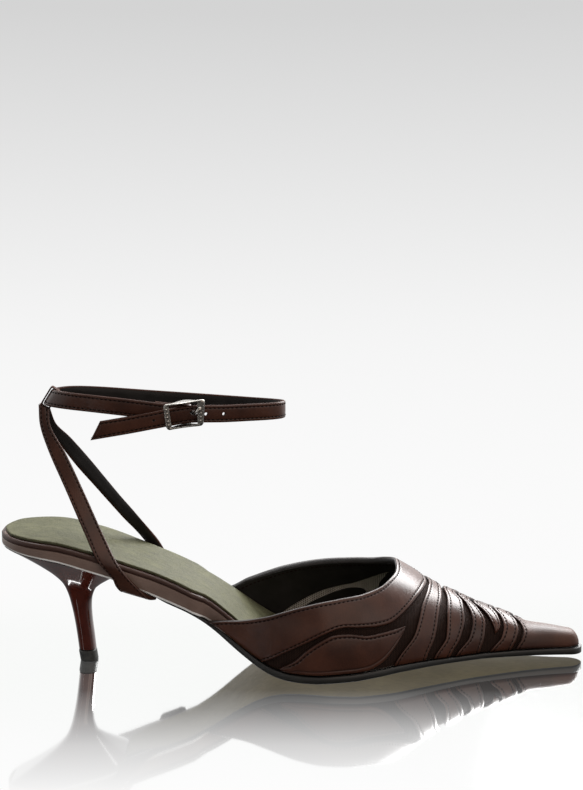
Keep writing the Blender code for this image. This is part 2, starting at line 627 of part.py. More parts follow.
def strap(name, edge_a, edge_b, thickness, finish):
    rings = strap_rings(edge_a, edge_b, thickness)
    count = len(rings[0])
    faces = [tuple(range(count)), tuple(range((len(rings) - 1) * count, len(rings) * count))]
    for k in range(len(rings) - 1):
        for i in range(count):
            n = (i + 1) % count
            faces.append((k * count + i, k * count + n, (k + 1) * count + n, (k + 1) * count + i))
    return add_object(name, np.concatenate(rings), faces, finish)


def box(name, low, high, finish):
    corners = [(x, y, z) for x in (low[0], high[0]) for y in (low[1], high[1]) for z in (low[2], high[2])]
    faces = [(0, 1, 3, 2), (4, 6, 7, 5), (0, 4, 5, 1), (2, 3, 7, 6), (0, 2, 6, 4), (1, 5, 7, 3)]
    return add_object(name, np.array(corners), faces, finish)


def combine(target, other, operation):
    """A Boolean that is carried out at once; the second object is used up."""
    change = target.modifiers.new(operation.lower(), "BOOLEAN")
    change.operation = operation
    change.solver = "EXACT"
    change.object = other
    bpy.context.view_layer.update()
    graph = bpy.context.evaluated_depsgraph_get()
    result = bpy.data.meshes.new_from_object(target.evaluated_get(graph), depsgraph=graph)
    target.modifiers.clear()
    target.data = result
    bpy.data.objects.remove(other)


def sling_edges(rows, count):
    path = through(np.stack([rows[c] for c in rows], axis=1), count)
    return path[:, :3], path[:, 3:]


def closed_band(name, rings, finish):
    """A solid through sections that run around and meet again."""
    count, sides = len(rings), len(rings[0])
    faces = []
    for k in range(count):
        m = (k + 1) % count
        for i in range(sides):
            n = (i + 1) % sides
            faces.append((k * sides + i, k * sides + n, m * sides + n, m * sides + i))
    return add_object(name, np.concatenate(rings), faces, finish)


def loop_rings():
    """Sections of the loop around the ankle strap behind the heel, leaning as the strap does."""
    up = np.array([STRAP_LEAN, 0.0, 1.0]) / math.hypot(STRAP_LEAN, 1.0)
    ahead = np.array([up[2], 0.0, -up[0]])
    middle = np.array([ANKLE["x"].min(), 0.0, ANKLE["z"].max()]) + ahead * LOOP_ROOM / 2.0
    reach = (STRAP_THICKNESS + LOOP_ROOM) / 2.0 + GAP
    rise = STRAP_WIDTH / 2.0 + LOOP_CLEARANCE
    rings = []
    for angle in np.linspace(0.0, 2.0 * math.pi, 20, endpoint=False):
        a = np.sign(math.cos(angle)) * abs(math.cos(angle)) ** LOOP_CORNER
        b = np.sign(math.sin(angle)) * abs(math.sin(angle)) ** LOOP_CORNER
        inner = middle + ahead * a * reach + up * b * rise
        outer = middle + ahead * a * (reach + LOOP_WALL) + up * b * (rise + LOOP_WALL)
        side = np.array([0.0, LOOP_HALF_WIDTH, 0.0])
        rings.append(np.array([inner - side, outer - side, outer + side, inner + side]))
    return rings


def make_sling(finish):
    """Both straps and the loop that holds the ankle strap behind the heel, as one piece."""
    sling = strap("sling", *sling_edges(SLING_LATERAL, 24), SLING_THICKNESS, finish)
    combine(sling, strap("sling_medial", *sling_edges(SLING_MEDIAL, 24), SLING_THICKNESS, finish), "UNION")
    combine(sling, closed_band("loop", loop_rings(), finish), "UNION")
    return sling


def ankle_edges():
    """Lower and upper edge of the ankle strap, which leans forward behind the heel; the tail is cut on
    the slant."""
    middle = through(np.stack([ANKLE[c] for c in "xyz"], axis=1), ANKLE_STATIONS)
    tangent = np.gradient(middle, axis=0)
    tangent /= np.linalg.norm(tangent, axis=1)[:, None]
    up = np.zeros_like(middle)
    up[:, 0] = STRAP_LEAN * np.clip((34.0 - middle[:, 0]) / 12.0, 0.0, 1.0)
    up[:, 2] = 1.0
    up -= np.sum(up * tangent, axis=1)[:, None] * tangent
    up /= np.linalg.norm(up, axis=1)[:, None]
    lower = middle - up * STRAP_WIDTH / 2.0
    upper = middle + up * STRAP_WIDTH / 2.0
    lower[-1] += tangent[-1] * TAIL_SKEW
    upper[-1] -= tangent[-1] * TAIL_SKEW
    return lower, upper


def make_ankle_strap(finish):
    """The strap, with a slot in its fold and a hole in its tail for the prong."""
    ankle = strap("ankle_strap", *ankle_edges(), STRAP_THICKNESS, finish)
    slot = box("slot", PIVOT + [-3.4, -3.2, -PRONG_SLOT / 2], PIVOT + [3.0, 3.0, PRONG_SLOT / 2], finish)
    hole = box("hole", PRONG_HOLE - [HOLE_LENGTH / 2, 2.4, HOLE_HEIGHT / 2],
               PRONG_HOLE + [HOLE_LENGTH / 2, 2.4, HOLE_HEIGHT / 2], finish)
    combine(ankle, slot, "DIFFERENCE")
    combine(ankle, hole, "DIFFERENCE")
    return ankle


def tube(name, path, radius, sides, finish):
    """A round bar along a path, closed at both ends."""
    path = np.asarray(path, float)
    tangent = np.gradient(path, axis=0)
    tangent /= np.linalg.norm(tangent, axis=1)[:, None]
    radii = np.broadcast_to(radius, len(path))
    side = np.cross(tangent, np.array([0.3, 0.2, 1.0]))
    side /= np.linalg.norm(side, axis=1)[:, None]
    other = np.cross(tangent, side)
    angle = np.linspace(0.0, 2.0 * math.pi, sides, endpoint=False)
    rings = [path[i] + radii[i] * (np.cos(angle)[:, None] * side[i] + np.sin(angle)[:, None] * other[i])
             for i in range(len(path))]
    faces = [tuple(range(sides)), tuple(range((len(path) - 1) * sides, len(path) * sides))]
    for k in range(len(path) - 1):
        for i in range(sides):
            n = (i + 1) % sides
            faces.append((k * sides + i, k * sides + n, (k + 1) * sides + n, (k + 1) * sides + i))
    return add_object(name, np.concatenate(rings), faces, finish)


def buckle_bow(along, up):
    """How far a rail deepens backwards to the pivot bar: most at its middle, fuller low at the rear."""
    low_rear = up < 0.0 and along < 0.0
    reach = BUCKLE_LOW_REACH if low_rear else BUCKLE_BOW_REACH
    return BUCKLE_BOW * max(0.0, 1.0 - (along / reach) ** 2) ** (0.7 if low_rear else 1.5)


def buckle_point(along, up, depth):
    """A point of the buckle: along and up in its own plane, which leans with the strap's tail; the front
    bar is splayed a little."""
    cos, sin = math.cos(BUCKLE_TILT), math.sin(BUCKLE_TILT)
    along = along + BUCKLE_SPLAY * up * max(along, 0.0) / (BUCKLE_LENGTH / 2.0)
    return BUCKLE_CENTRE + np.array([along * cos - up * sin, depth, along * sin + up * cos])


def make_buckle(finish):
    """A frame with broad end bars and thin rails that deepen backwards to the pivot bar."""
    outer_corner = 1.6
    per_side = 5
    loop = []
    half_length, half_height = BUCKLE_LENGTH / 2.0, BUCKLE_HEIGHT / 2.0
    for quarter in range(4):
        sx = 1 if quarter in (0, 3) else -1
        sz = 1 if quarter in (0, 1) else -1
        for step in np.linspace(0.0, math.pi / 2, per_side):
            angle = quarter * math.pi / 2 + step
            loop.append((sx * (half_length - outer_corner) + outer_corner * math.cos(angle),
                         sz * (half_height - outer_corner) + outer_corner * math.sin(angle)))
        if quarter in (0, 2):
            rail = np.array([5.7, 4.5, 3.3, 2.2, 1.2, 0.2, -1.2, -2.4, -3.5, -4.6, -5.7])
            loop.extend((x if quarter == 0 else -x, sz * half_height) for x in rail)
    rings = []
    for along, up in loop:
        bar = BUCKLE_FRONT_BAR if along > 0 else BUCKLE_REAR_BAR
        inner_length = half_length - bar
        inner_height = half_height - BUCKLE_RAIL
        inner = (np.clip(along, -inner_length, inner_length), np.clip(up, -inner_height, inner_height))
        bow = buckle_bow(along, up)
        front, back = -BUCKLE_BAR_DEPTH / 2.0, bow + BUCKLE_BAR_DEPTH / 2.0
        rings.append(np.array([buckle_point(along, up, back), buckle_point(along, up, front + 0.5),
                               buckle_point(along * 0.96, up * 0.96, front),
                               buckle_point(*inner, front + 0.2), buckle_point(*inner, back)]))
    buckle = closed_band("buckle", rings, finish)
    reach = half_height - BUCKLE_RAIL / 2.0
    ends = [PIVOT + np.array([0.0, 0.0, up]) for up in (-reach, 0.0, reach)]
    combine(buckle, tube("pivot", ends, PIVOT_RADIUS, 10, finish), "UNION")
    return buckle


def make_prong(finish):
    """A pin that hooks around the pivot bar, passes through the tail's hole and rests on the front bar."""
    hook_radius = PIVOT_RADIUS + GAP + PRONG_RADIUS
    path = []
    for angle in np.radians([150.0, 190.0, 230.0, 270.0, 310.0]):
        path.append(PIVOT + hook_radius * np.array([math.cos(angle), math.sin(angle), 0.0]))
    path += [PRONG_HOLE, PRONG_BEND, PRONG_REST, PRONG_TIP]
    return tube("prong", through(np.array(path), 16), PRONG_RADIUS, 8, finish)


def build_shoe():
    for old in list(bpy.data.objects):
        bpy.data.objects.remove(old)
    leather = material("brown_leather", (0.075, 0.030, 0.022), 0.42)
    mesh_cloth = material("dark_mesh", (0.022, 0.014, 0.012), 0.80)
    band = material("insole_leather", (0.110, 0.065, 0.050), 0.45)
    sock = material("olive_lining", (0.250, 0.240, 0.160), 0.60)
    lacquer = material("heel_lacquer", (0.070, 0.014, 0.010), 0.12)
    rubber = material("heel_rubber", (0.035, 0.035, 0.034), 0.65)
    sole = material("sole_board", (0.030, 0.030, 0.028), 0.50)
    metal = material("aged_nickel", (0.420, 0.400, 0.370), 0.30, 1.0)
    make_outsole(sole)
    make_heel(lacquer)
    make_heel_tip(rubber)
    make_insole(band)
    make_sock(sock)
    make_vamp(mesh_cloth)
    make_collar(leather)
    make_leaves(leather)
    for name, (rear, front) in STRIPS.items():
        make_strip(name, rear, front, STRIP_AROUND, leather)
    make_strip("strip_4", *POINTED_STRIP, POINTED_AROUND, leather)
    make_toe_cap(leather)
    make_sling(leather)
    make_ankle_strap(leather)
    make_buckle(metal)
    make_prong(metal)


build_shoe()
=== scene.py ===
"""Looks of a right shoe with a pointed toe, a kitten heel and a buckled ankle strap.

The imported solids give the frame. Every node is replaced by a finer piece made from the same tables:
folded and stitched leather overlays on a mesh vamp, a covered platform, a lacquered heel, bound straps and
a beaded buckle. Tables and working functions are in millimetres, with x from the back of the heel seat to
the toe, y from the heel's centre line with the outer side negative, and z up from the floor. place() turns
them into the part's own frame in metres.
"""

import math

import bmesh
import bpy
import numpy as np
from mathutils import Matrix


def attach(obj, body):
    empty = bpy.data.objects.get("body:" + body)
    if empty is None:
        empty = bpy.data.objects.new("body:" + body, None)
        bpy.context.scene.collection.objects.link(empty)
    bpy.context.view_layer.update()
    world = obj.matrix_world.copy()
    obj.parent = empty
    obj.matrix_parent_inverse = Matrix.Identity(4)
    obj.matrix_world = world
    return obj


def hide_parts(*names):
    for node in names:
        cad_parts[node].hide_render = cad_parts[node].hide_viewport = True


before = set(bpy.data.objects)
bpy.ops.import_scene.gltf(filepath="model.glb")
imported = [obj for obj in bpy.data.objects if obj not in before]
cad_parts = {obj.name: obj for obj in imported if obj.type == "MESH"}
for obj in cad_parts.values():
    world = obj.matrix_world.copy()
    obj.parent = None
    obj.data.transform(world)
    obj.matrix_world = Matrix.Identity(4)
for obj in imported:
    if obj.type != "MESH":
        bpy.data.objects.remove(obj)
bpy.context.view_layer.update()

# Main dimensions, in millimetres
LENGTH = 250.5
HEEL_ROUND = 26.0
TOE_ROUND = 6.0
UPPER_TIP = 249.3
UPPER_TIP_ROUND = 4.2
GAP = 0.35
VAMP_FACE = 1.5
VAMP_INSIDE = 2.7
UNDER = 1.45
LINING = 0.3
LINING_GAP = 0.02
LINING_STITCH_IN = 2.2
SOLE_BACK = 53.0
SOLE_MARGIN = 0.4
SOCK_THICKNESS = 1.0
SOCK_MARGIN = 1.6
SOCK_ROUND = 5.0
INSOLE_TOE = 236.0
INSOLE_TOE_ROUND = 14.0
VAMP_BACK = 89.5
INSOLE_TUCK = VAMP_INSIDE + 2.0 * GAP
TUCK_BACK = VAMP_BACK - 7.0
TUCK_RUN = 6.0
HEEL_TIP_HEIGHT = 5.0
STRAP_WIDTH = 7.3
STRAP_THICKNESS = 1.6
STRAP_LEAN = 0.62
STRAP_LEAN_FRONT = 34.0
STRAP_LEAN_RUN = 12.0
TAIL_SKEW = 2.75
TAIL_RUN = 14.0
TAIL_FOLD = 2.3
SLING_THICKNESS = 1.7
MIDDLE = np.array([125.25, -3.50982392, 0.0])
MILLIMETRE = 0.001
MERGE_DISTANCE = 0.000004


def table(columns, *rows):
    """Columns of a table by name, each as an array."""
    names = columns.split()
    return {name: np.array([row[i] for row in rows], float) for i, name in enumerate(names)}


# Plan of the last at its widest edge: centre of the width and half of it
OUTLINE = table(
    "x axis half",
    (0, 0.0, 24.5), (26, 0.0, 24.7), (42, -0.2, 25.2), (55, -0.5, 24.0), (68, -1.0, 22.7), (85, -2.5, 23.0),
    (104, -4.0, 27.0), (116, -5.0, 31.5), (128, -5.2, 35.2), (140, -4.5, 37.5), (150, -3.2, 37.7),
    (160, -1.0, 36.0), (170, 1.2, 32.7), (182, 3.4, 27.5), (194, 4.7, 22.2), (206, 5.2, 17.2),
    (218, 5.1, 13.1), (230, 4.8, 9.7), (242, 4.4, 7.2), (252, 4.2, 5.8))

# Side of the last: the edge of the insole's underside, how far the middle of the tread hangs below
# that edge, and the height of the insole's top
SIDE = table(
    "x seat crown top",
    (0, 53.4, 0.0, 58.4), (8, 52.0, 0.0, 57.8), (24, 49.7, 0.0, 56.5), (38, 45.8, 0.0, 53.2),
    (48, 42.6, 0.0, 50.1), (58, 38.2, 0.0, 46.5), (71, 32.6, 0.0, 41.6), (80, 28.8, 0.0, 37.6),
    (90, 23.6, 0.3, 32.4), (97, 19.4, 0.8, 27.7), (103, 15.2, 1.4, 23.4), (110, 10.6, 2.0, 18.1),
    (117, 7.4, 2.6, 13.4), (124, 6.0, 3.0, 10.2), (131, 5.7, 3.2, 8.6), (144, 6.3, 3.7, 8.2),
    (160, 7.2, 4.5, 8.8), (170, 7.6, 4.4, 9.2), (182, 7.2, 3.4, 9.2), (194, 6.7, 2.3, 9.0),
    (206, 6.5, 1.5, 8.8), (218, 6.3, 0.9, 8.6), (230, 6.1, 0.5, 8.4), (252, 5.8, 0.1, 8.2))

# Top of the vamp: height of its ridge, how far the ridge lies towards the inner side, and the
# exponent of the section, where 2 is an ellipse and more is fuller
VAMP = table(
    "x ridge shift full",
    (85, 63.0, 3.0, 2.20), (100, 61.0, 3.3, 2.23), (120, 57.0, 3.6, 2.25), (140, 52.5, 3.9, 2.28),
    (150, 49.8, 4.0, 2.30), (160, 46.8, 3.5, 2.30), (169, 43.0, 2.8, 2.30), (176, 39.0, 2.4, 2.30),
    (182, 35.0, 2.0, 2.30), (189, 31.0, 1.7, 2.30), (196, 28.0, 1.4, 2.30), (202, 25.0, 1.2, 2.32),
    (211, 21.6, 0.9, 2.40), (217, 19.6, 0.8, 2.45), (222, 17.4, 0.7, 2.50), (227, 14.9, 0.6, 2.52),
    (236, 13.8, 0.4, 2.55), (242, 12.8, 0.2, 2.60), (252, 11.4, 0.0, 2.60))

# The most that the ridge may be shifted, as a share of half the width
MOST_SHIFT = 0.3

# How far the outsole lies inside the outline on each side, and its thickness
OUTSOLE = table(
    "x outer inner thick",
    (53, 12.0, 12.0, 1.1), (60, 8.6, 9.0, 1.1), (66, 4.4, 7.4, 1.0), (72, 1.8, 6.4, 0.9), (79, 1.6, 5.4, 0.9),
    (86, 1.5, 2.6, 1.1), (92, 1.3, 1.4, 1.8), (99, 0.6, 0.6, 2.8), (106, 0.0, 0.0, 3.0), (170, 0.0, 0.0, 2.8),
    (194, -SOLE_MARGIN, -SOLE_MARGIN, 2.2), (206, -SOLE_MARGIN, -SOLE_MARGIN, 2.2),
    (218, -SOLE_MARGIN, -SOLE_MARGIN, 2.4), (252, -SOLE_MARGIN, -SOLE_MARGIN, 3.0))

# Rows of the outsole's rim from its underside up: distance in from the outline, and distance from the
# underside or, where the last value says so, from the top
SOLE_RIM = (
    (0.9, 0.0, False), (0.35, 0.06, False), (0.08, 0.28, False), (0.0, 0.6, False), (0.0, 0.25, True),
    (0.12, 0.08, True), (0.4, 0.0, True))

# Rows of the platform's rim from its underside up: distance in from the outline, and how far the row lies
# below a share of the thickness, with that share. Then how many bands of faces along its lower edge carry a
# painted highlight, a pale line, and how many lie below the crease under the bead
PLATFORM_RIM = (
    (0.9, 0.0, 0.0), (0.30, 0.0, 0.01), (0.06, 0.0, 0.05), (0.0, 0.0, 0.12), (0.0, 2.75, 1.0),
    (0.06, 2.55, 1.0), (0.22, 2.42, 1.0), (0.50, 2.34, 1.0), (0.26, 2.22, 1.0), (0.10, 2.00, 1.0),
    (0.04, 1.60, 1.0), (0.08, 1.10, 1.0), (0.24, 0.64, 1.0), (0.52, 0.30, 1.0), (1.00, 0.08, 1.0),
    (2.2, 0.0, 1.0))
PLATFORM_HIGHLIGHT_BANDS = 3
PLATFORM_CREASE = 7

# Rows of the sock's edge: distance in from its outline and share of its thickness
SOCK_RIM = ((0.0, 0.0), (0.0, 0.45), (0.10, 0.78), (0.35, 0.96), (0.8, 1.0))

# Collar band on the outer and on the inner side, from the waist at the sole to the ridge: its edge at
# the throat and its lower edge, each by x and by its place around the section (0 at the sole of that
# side, 0.5 on the ridge)
EDGE_COLUMNS = "top_x top_around low_x low_around"
COLLAR_OUTER = table(
    EDGE_COLUMNS,
    (VAMP_BACK, 0.000, 112.0, 0.000), (101.8, 0.058, 122.6, 0.048), (112.7, 0.112, 131.0, 0.079),
    (122.9, 0.155, 139.0, 0.108), (133.5, 0.189, 145.4, 0.124), (144.0, 0.216, 152.5, 0.126),
    (154.5, 0.247, 160.5, 0.130), (161.2, 0.285, 166.2, 0.148), (165.6, 0.340, 171.7, 0.201),
    (168.0, 0.390, 176.4, 0.275), (169.0, 0.440, 180.4, 0.375), (169.2, 0.500, 182.4, 0.500))
COLLAR_INNER = table(
    EDGE_COLUMNS,
    (VAMP_BACK - 1.5, 0.000, 113.5, 0.000), (97.5, 0.050, 122.0, 0.049), (106.0, 0.112, 131.0, 0.087),
    (117.5, 0.171, 138.5, 0.112), (128.5, 0.206, 146.0, 0.131), (140.5, 0.234, 152.5, 0.148),
    (151.5, 0.260, 158.8, 0.181), (160.0, 0.290, 164.0, 0.222), (165.2, 0.340, 168.5, 0.270),
    (168.0, 0.390, 173.5, 0.330), (169.0, 0.440, 178.5, 0.410), (169.2, 0.500, 182.4, 0.500))

# How many millimetres once around the section counts as where points are spread along these edges
AROUND_WEIGHT = 100.0

# Leaf panels on the outer and on the inner side, from the rear tip to the front tip: upper edge and
# lower edge
LEAF_OUTER = table(
    EDGE_COLUMNS,
    (119.0, 0.004, 120.0, 0.000), (125.7, 0.030, 127.0, 0.000), (130.0, 0.056, 134.0, 0.000),
    (136.0, 0.084, 140.0, 0.000), (141.4, 0.102, 146.0, 0.000), (149.0, 0.106, 152.0, 0.000),
    (155.0, 0.101, 158.0, 0.004), (161.0, 0.108, 163.0, 0.022), (167.0, 0.120, 167.0, 0.056),
    (171.4, 0.134, 170.6, 0.108))
LEAF_INNER = table(
    EDGE_COLUMNS,
    (121.0, 0.004, 120.0, 0.000), (126.0, 0.030, 127.0, 0.000), (130.5, 0.060, 134.0, 0.000),
    (134.5, 0.075, 140.0, 0.000), (138.0, 0.086, 146.0, 0.000), (143.5, 0.104, 150.0, 0.000),
    (148.8, 0.118, 154.0, 0.004), (153.0, 0.123, 157.0, 0.020), (156.5, 0.120, 158.5, 0.050),
    (158.5, 0.100, 159.0, 0.085))

# Strips over the vamp: x of each edge at the sole, low on the side, at the shoulder, above it and on
# the ridge
STRIP_AROUND = np.array([0.0, 0.1, 0.25, 0.4, 0.5])
STRIPS = {
    "strip_1": ((166.4, 175.2, 179.0, 182.4, 183.5), (180.4, 184.5, 186.6, 188.7, 189.1)),
    "strip_2": ((183.7, 189.2, 190.1, 190.8, 190.2), (191.1, 195.8, 198.0, 198.0, 195.2)),
    "strip_3": ((193.4, 199.4, 201.3, 199.6, 196.4), (204.3, 206.4, 207.2, 204.6, 201.4)),
    "strip_5": ((208.8, 213.6, 215.2, 214.3, 212.3), (218.5, 220.8, 221.9, 221.4, 219.2)),
}
TOE_CAP_EDGE = (220.4, 222.8, 224.0, 223.2, 220.8)

# The short strip, whose two edges meet in a point half way down each side
POINTED_AROUND = np.array([0.147, 0.18, 0.25, 0.4, 0.5])
POINTED_STRIP = ((211.2, 211.1, 210.2, 206.8, 203.2), (211.2, 212.5, 213.8, 213.1, 211.4))

# A black sheet inside the vamp behind the first strip, reaching back on the inner side: rear edge and front
# edge
DARK_TAB = table(
    EDGE_COLUMNS,
    (164.5, 0.900, 176.0, 0.905), (163.2, 0.879, 176.5, 0.879), (163.2, 0.850, 177.3, 0.850),
    (165.5, 0.797, 178.4, 0.797), (167.5, 0.749, 179.3, 0.749), (174.0, 0.690, 180.6, 0.690))

# Stem of the heel from its neck down to the tip: back and front points of each ring and its half width.
# Above the neck a cup opens to the heel seat
RING_COLUMNS = "back_x back_z front_x front_z half full"
HEEL = table(
    RING_COLUMNS,
    (25.4, 34.6, 39.4, 31.6, 6.6, 2.2), (27.2, 31.0, 38.3, 29.0, 5.7, 2.2),
    (28.4, 27.2, 37.8, 26.4, 5.3, 2.2), (29.9, 20.5, 37.8, 20.5, 4.9, 2.3),
    (31.0, 13.5, 38.5, 13.5, 4.6, 2.4),
    (32.0, HEEL_TIP_HEIGHT + GAP, 39.3, HEEL_TIP_HEIGHT + GAP, 4.4, 2.5))
HEEL_SEAT = {"back_x": 2.0, "front_x": 52.2, "half": 24.0, "full": 3.2, "inset": 0.6}
CUP_DRAW = 1.25
HEEL_TIP = table(
    RING_COLUMNS,
    (32.4, HEEL_TIP_HEIGHT, 39.0, HEEL_TIP_HEIGHT, 4.1, 2.5), (32.0, 4.8, 39.4, 4.8, 4.5, 2.5),
    (31.9, 4.5, 39.5, 4.5, 4.6, 2.5), (32.2, 2.4, 39.8, 2.4, 4.6, 2.5), (32.5, 0.5, 40.1, 0.5, 4.6, 2.5),
    (32.6, 0.15, 40.0, 0.15, 4.5, 2.5), (32.9, 0.0, 39.8, 0.0, 4.2, 2.5))

# Sling straps from their ends under the insole to the loop: rear edge and front edge of each row
SLING_COLUMNS = "rear_x rear_y rear_z front_x front_y front_z"
SLING_LATERAL = table(
    SLING_COLUMNS,
    (56.8, -20.6, 36.9, 67.4, -20.9, 33.0), (54.2, -22.8, 37.4, 66.2, -22.5, 33.4),
    (52.4, -24.8, 38.2, 64.8, -24.3, 34.3), (50.9, -26.0, 40.2, 62.4, -25.3, 36.6),
    (49.6, -26.4, 43.2, 59.0, -25.9, 40.2), (43.6, -26.8, 50.6, 52.4, -26.4, 48.6),
    (38.4, -22.0, 60.0, 46.4, -21.0, 58.6), (29.4, -13.6, 77.6, 37.8, -14.0, 75.4),
    (21.4, -7.0, 93.6, 29.4, -8.2, 91.6), (17.6, -3.2, 104.0, 22.4, -4.0, 103.2),
    (16.9, -1.3, 112.2, 21.4, -1.5, 110.0))
SLING_MEDIAL = table(
    SLING_COLUMNS,
    (68.6, 18.8, 32.3, 76.6, 18.3, 28.8), (66.6, 21.2, 33.2, 75.2, 20.2, 29.5),
    (65.2, 23.1, 34.6, 73.8, 22.2, 31.2), (63.8, 24.1, 37.2, 71.8, 23.2, 34.2),
    (61.4, 24.6, 42.0, 69.0, 23.8, 39.6), (58.4, 24.0, 47.6, 65.6, 24.0, 45.8),
    (50.6, 16.6, 58.5, 55.0, 19.0, 61.0), (44.6, 12.5, 66.9, 49.2, 15.6, 69.0),
    (38.6, 9.4, 75.0, 43.3, 12.6, 77.4), (31.3, 6.2, 84.6, 36.4, 9.4, 87.2),
    (24.6, 3.8, 94.5, 29.0, 5.8, 97.0), (19.6, 2.4, 102.6, 23.6, 3.2, 103.2),
    (16.9, 1.3, 112.1, 21.3, 1.5, 110.1))
LOOP_WALL = 0.6
LOOP_HALF_WIDTH = 1.8
LOOP_CORNER = 0.22
LOOP_DEEP_ROUND = 0.6
LOOP_WIDE_ROUND = 0.45
LOOP_ROOM = 1.0
LOOP_CLEARANCE = 0.56

# Ankle strap along its middle: the folded end behind the pivot, back around the heel, along the inner
# side to the front, and back through the buckle to the tail
ANKLE = table(
    "x y z",
    (67.0, -15.2, 112.2), (73.0, -14.95, 111.4), (77.6, -14.4, 111.2), (79.6, -14.3, 111.2),
    (81.1, -14.9, 111.2), (81.7, -16.4, 111.2), (81.1, -17.9, 111.2), (79.6, -18.5, 111.2),
    (77.0, -18.3, 111.2), (72.0, -17.7, 111.5), (66.5, -17.3, 112.1), (57.0, -16.6, 113.2),
    (44.0, -14.2, 114.3), (31.0, -9.6, 115.0), (25.3, -6.0, 115.2), (22.4, -2.9, 115.2), (21.4, 0.0, 115.2),
    (22.4, 2.9, 115.2), (25.3, 6.0, 115.2), (31.0, 9.2, 115.0), (41.0, 12.4, 114.2), (62.0, 15.8, 112.2),
    (84.0, 16.4, 110.6), (105.0, 13.2, 109.6), (115.5, 8.4, 109.6), (119.8, 3.6, 109.9), (120.6, -0.6, 110.2),
    (119.3, -5.0, 110.4), (114.6, -9.4, 110.6), (106.0, -13.6, 110.8), (96.0, -17.2, 110.9),
    (89.0, -19.4, 111.2), (84.0, -20.3, 111.3), (79.6, -20.5, 110.9), (74.0, -20.2, 109.9),
    (67.0, -19.7, 108.5), (57.0, -19.2, 106.5), (42.8, -18.8, 104.0))
PIVOT = np.array([79.6, -16.4, 111.2])
PIVOT_RADIUS = 0.7
PRONG_SLOT_REACH = (3.3, 1.6)
PRONG_SLOT_DEPTH = 3.1
PRONG_HOLE = np.array([83.9, -20.4, 112.0])
PRONG_HOLE_REACH = (1.8, 0.85)
PRONG_HOLE_DEPTH = 2.4
PRONG_BEND = np.array([84.3, -23.2, 112.3])
PRONG_REST = np.array([85.3, -24.6, 113.1])
PRONG_TIP = np.array([87.1, -24.6, 114.7])
PRONG_RADIUS = 0.75
PRONG_FLAT = 0.55
PRONG_POINT = 0.35
PRONG_TAPER = 0.22
PRONG_HOOK = np.radians([150.0, 190.0, 230.0, 270.0, 310.0])
HOLE_RADIUS = 0.68
HOLE_DEPTH = 1.6
HOLE_SIDES = 28
STRAP_HOLES = np.array([(95.8, -17.3, 110.9), (88.6, -19.5, 111.2)])
PIN_MARK = np.array([67.2, -20.7, 108.55])
PIN_MARK_RADIUS = 0.5
PIN_MARK_DEPTH = 0.6
INWARD = (0.0, 1.0, 0.0)
UPWARD = (0.0, 0.0, 1.0)

BUCKLE_CENTRE = np.array([80.1, -22.5, 111.25])
BUCKLE_TILT = math.radians(8.0)
BUCKLE_LENGTH = 16.4
BUCKLE_HEIGHT = 10.8
BUCKLE_CORNER = 1.4
BUCKLE_BOW = 5.9
BUCKLE_BOW_REACH = 5.0
BUCKLE_BOW_SHAPE = 1.5
BUCKLE_LOW_REACH = 6.2
BUCKLE_LOW_SHAPE = 0.7
BUCKLE_SECTION = 0.7
BUCKLE_SPLAY = 0.21
BUCKLE_BAR_DEPTH = 1.8
BUCKLE_RAIL = 1.0
BUCKLE_REAR_BAR = 2.2
BUCKLE_FRONT_BAR = 2.9

# Beads up the middle of the buckle's end bars, and the distance from there of the fine ridges beside them
REAR_BEADS = (-3.2, -1.6, 0.0, 1.6, 3.2)
FRONT_BEADS = (-3.1, -1.6, -0.1)
BEAD_RADIUS = 0.55
BEAD_SUNK = 0.10
REAR_RIDGES = 0.84
FRONT_RIDGES = 1.10
RIDGE_RADIUS = 0.27
RIDGE_SUNK = 0.12
RIDGE_REACH = 4.2

# Section of an overlay next to its folded edge: distance in from the edge and height over its face, with
# the fold's first rows, a slight swelling behind them and the trough that the stitches lie in
FOLD = np.array([
    (0.00, -UNDER), (-0.03, -0.95), (0.04, -0.50), (0.18, -0.20), (0.42, -0.03), (0.75, 0.06), (1.05, 0.04),
    (1.26, 0.00), (1.46, -0.09), (1.66, -0.13), (1.86, -0.09), (2.08, 0.00), (2.45, 0.03), (3.10, 0.03)])
FOLD_ROUND_ROWS = 5
FOLD_UNDER = np.stack([FOLD[:, 0], np.full(len(FOLD), -UNDER)], axis=1)
STITCH_IN = 1.66
STITCH_SUNK = 0.10
LINED_BELOW = -1.5

# An overlay's least width between its two folds, the width below which it thins out to a tip, the width from
# which it is sewn, and a distance that is far from every edge
FOLD_ROOM = 0.5
THIN_WIDTH = 1.8
SEWN_WIDTH = 3.6
FAR = 9.0

# Drawing in of the upper at the sole, by its depth and the height above the sole where it starts, and the
# swelling of lasted leather, which fades out over a depth below the face
FEATHER_DEPTH = 0.75
FEATHER_HEIGHT = 1.5
SWELL = 0.05
SWELL_FADE = 0.3

# Steps over which the upper's direction is read, along the shoe and around it, and how near to the sole it
# is read for stitches, as a place around
STEP_ALONG = 0.2
STEP_AROUND = 0.002
NORMAL_MARGIN = 0.004

# Tip of the toe cap: how much sooner its inner face ends, where the drawing in at the sole is read last, and
# the length over which it levels out
CAP_SOLID_TIP = 2.0
CAP_DRAW_LAST = 1.6
CAP_DRAW_END = 3.0

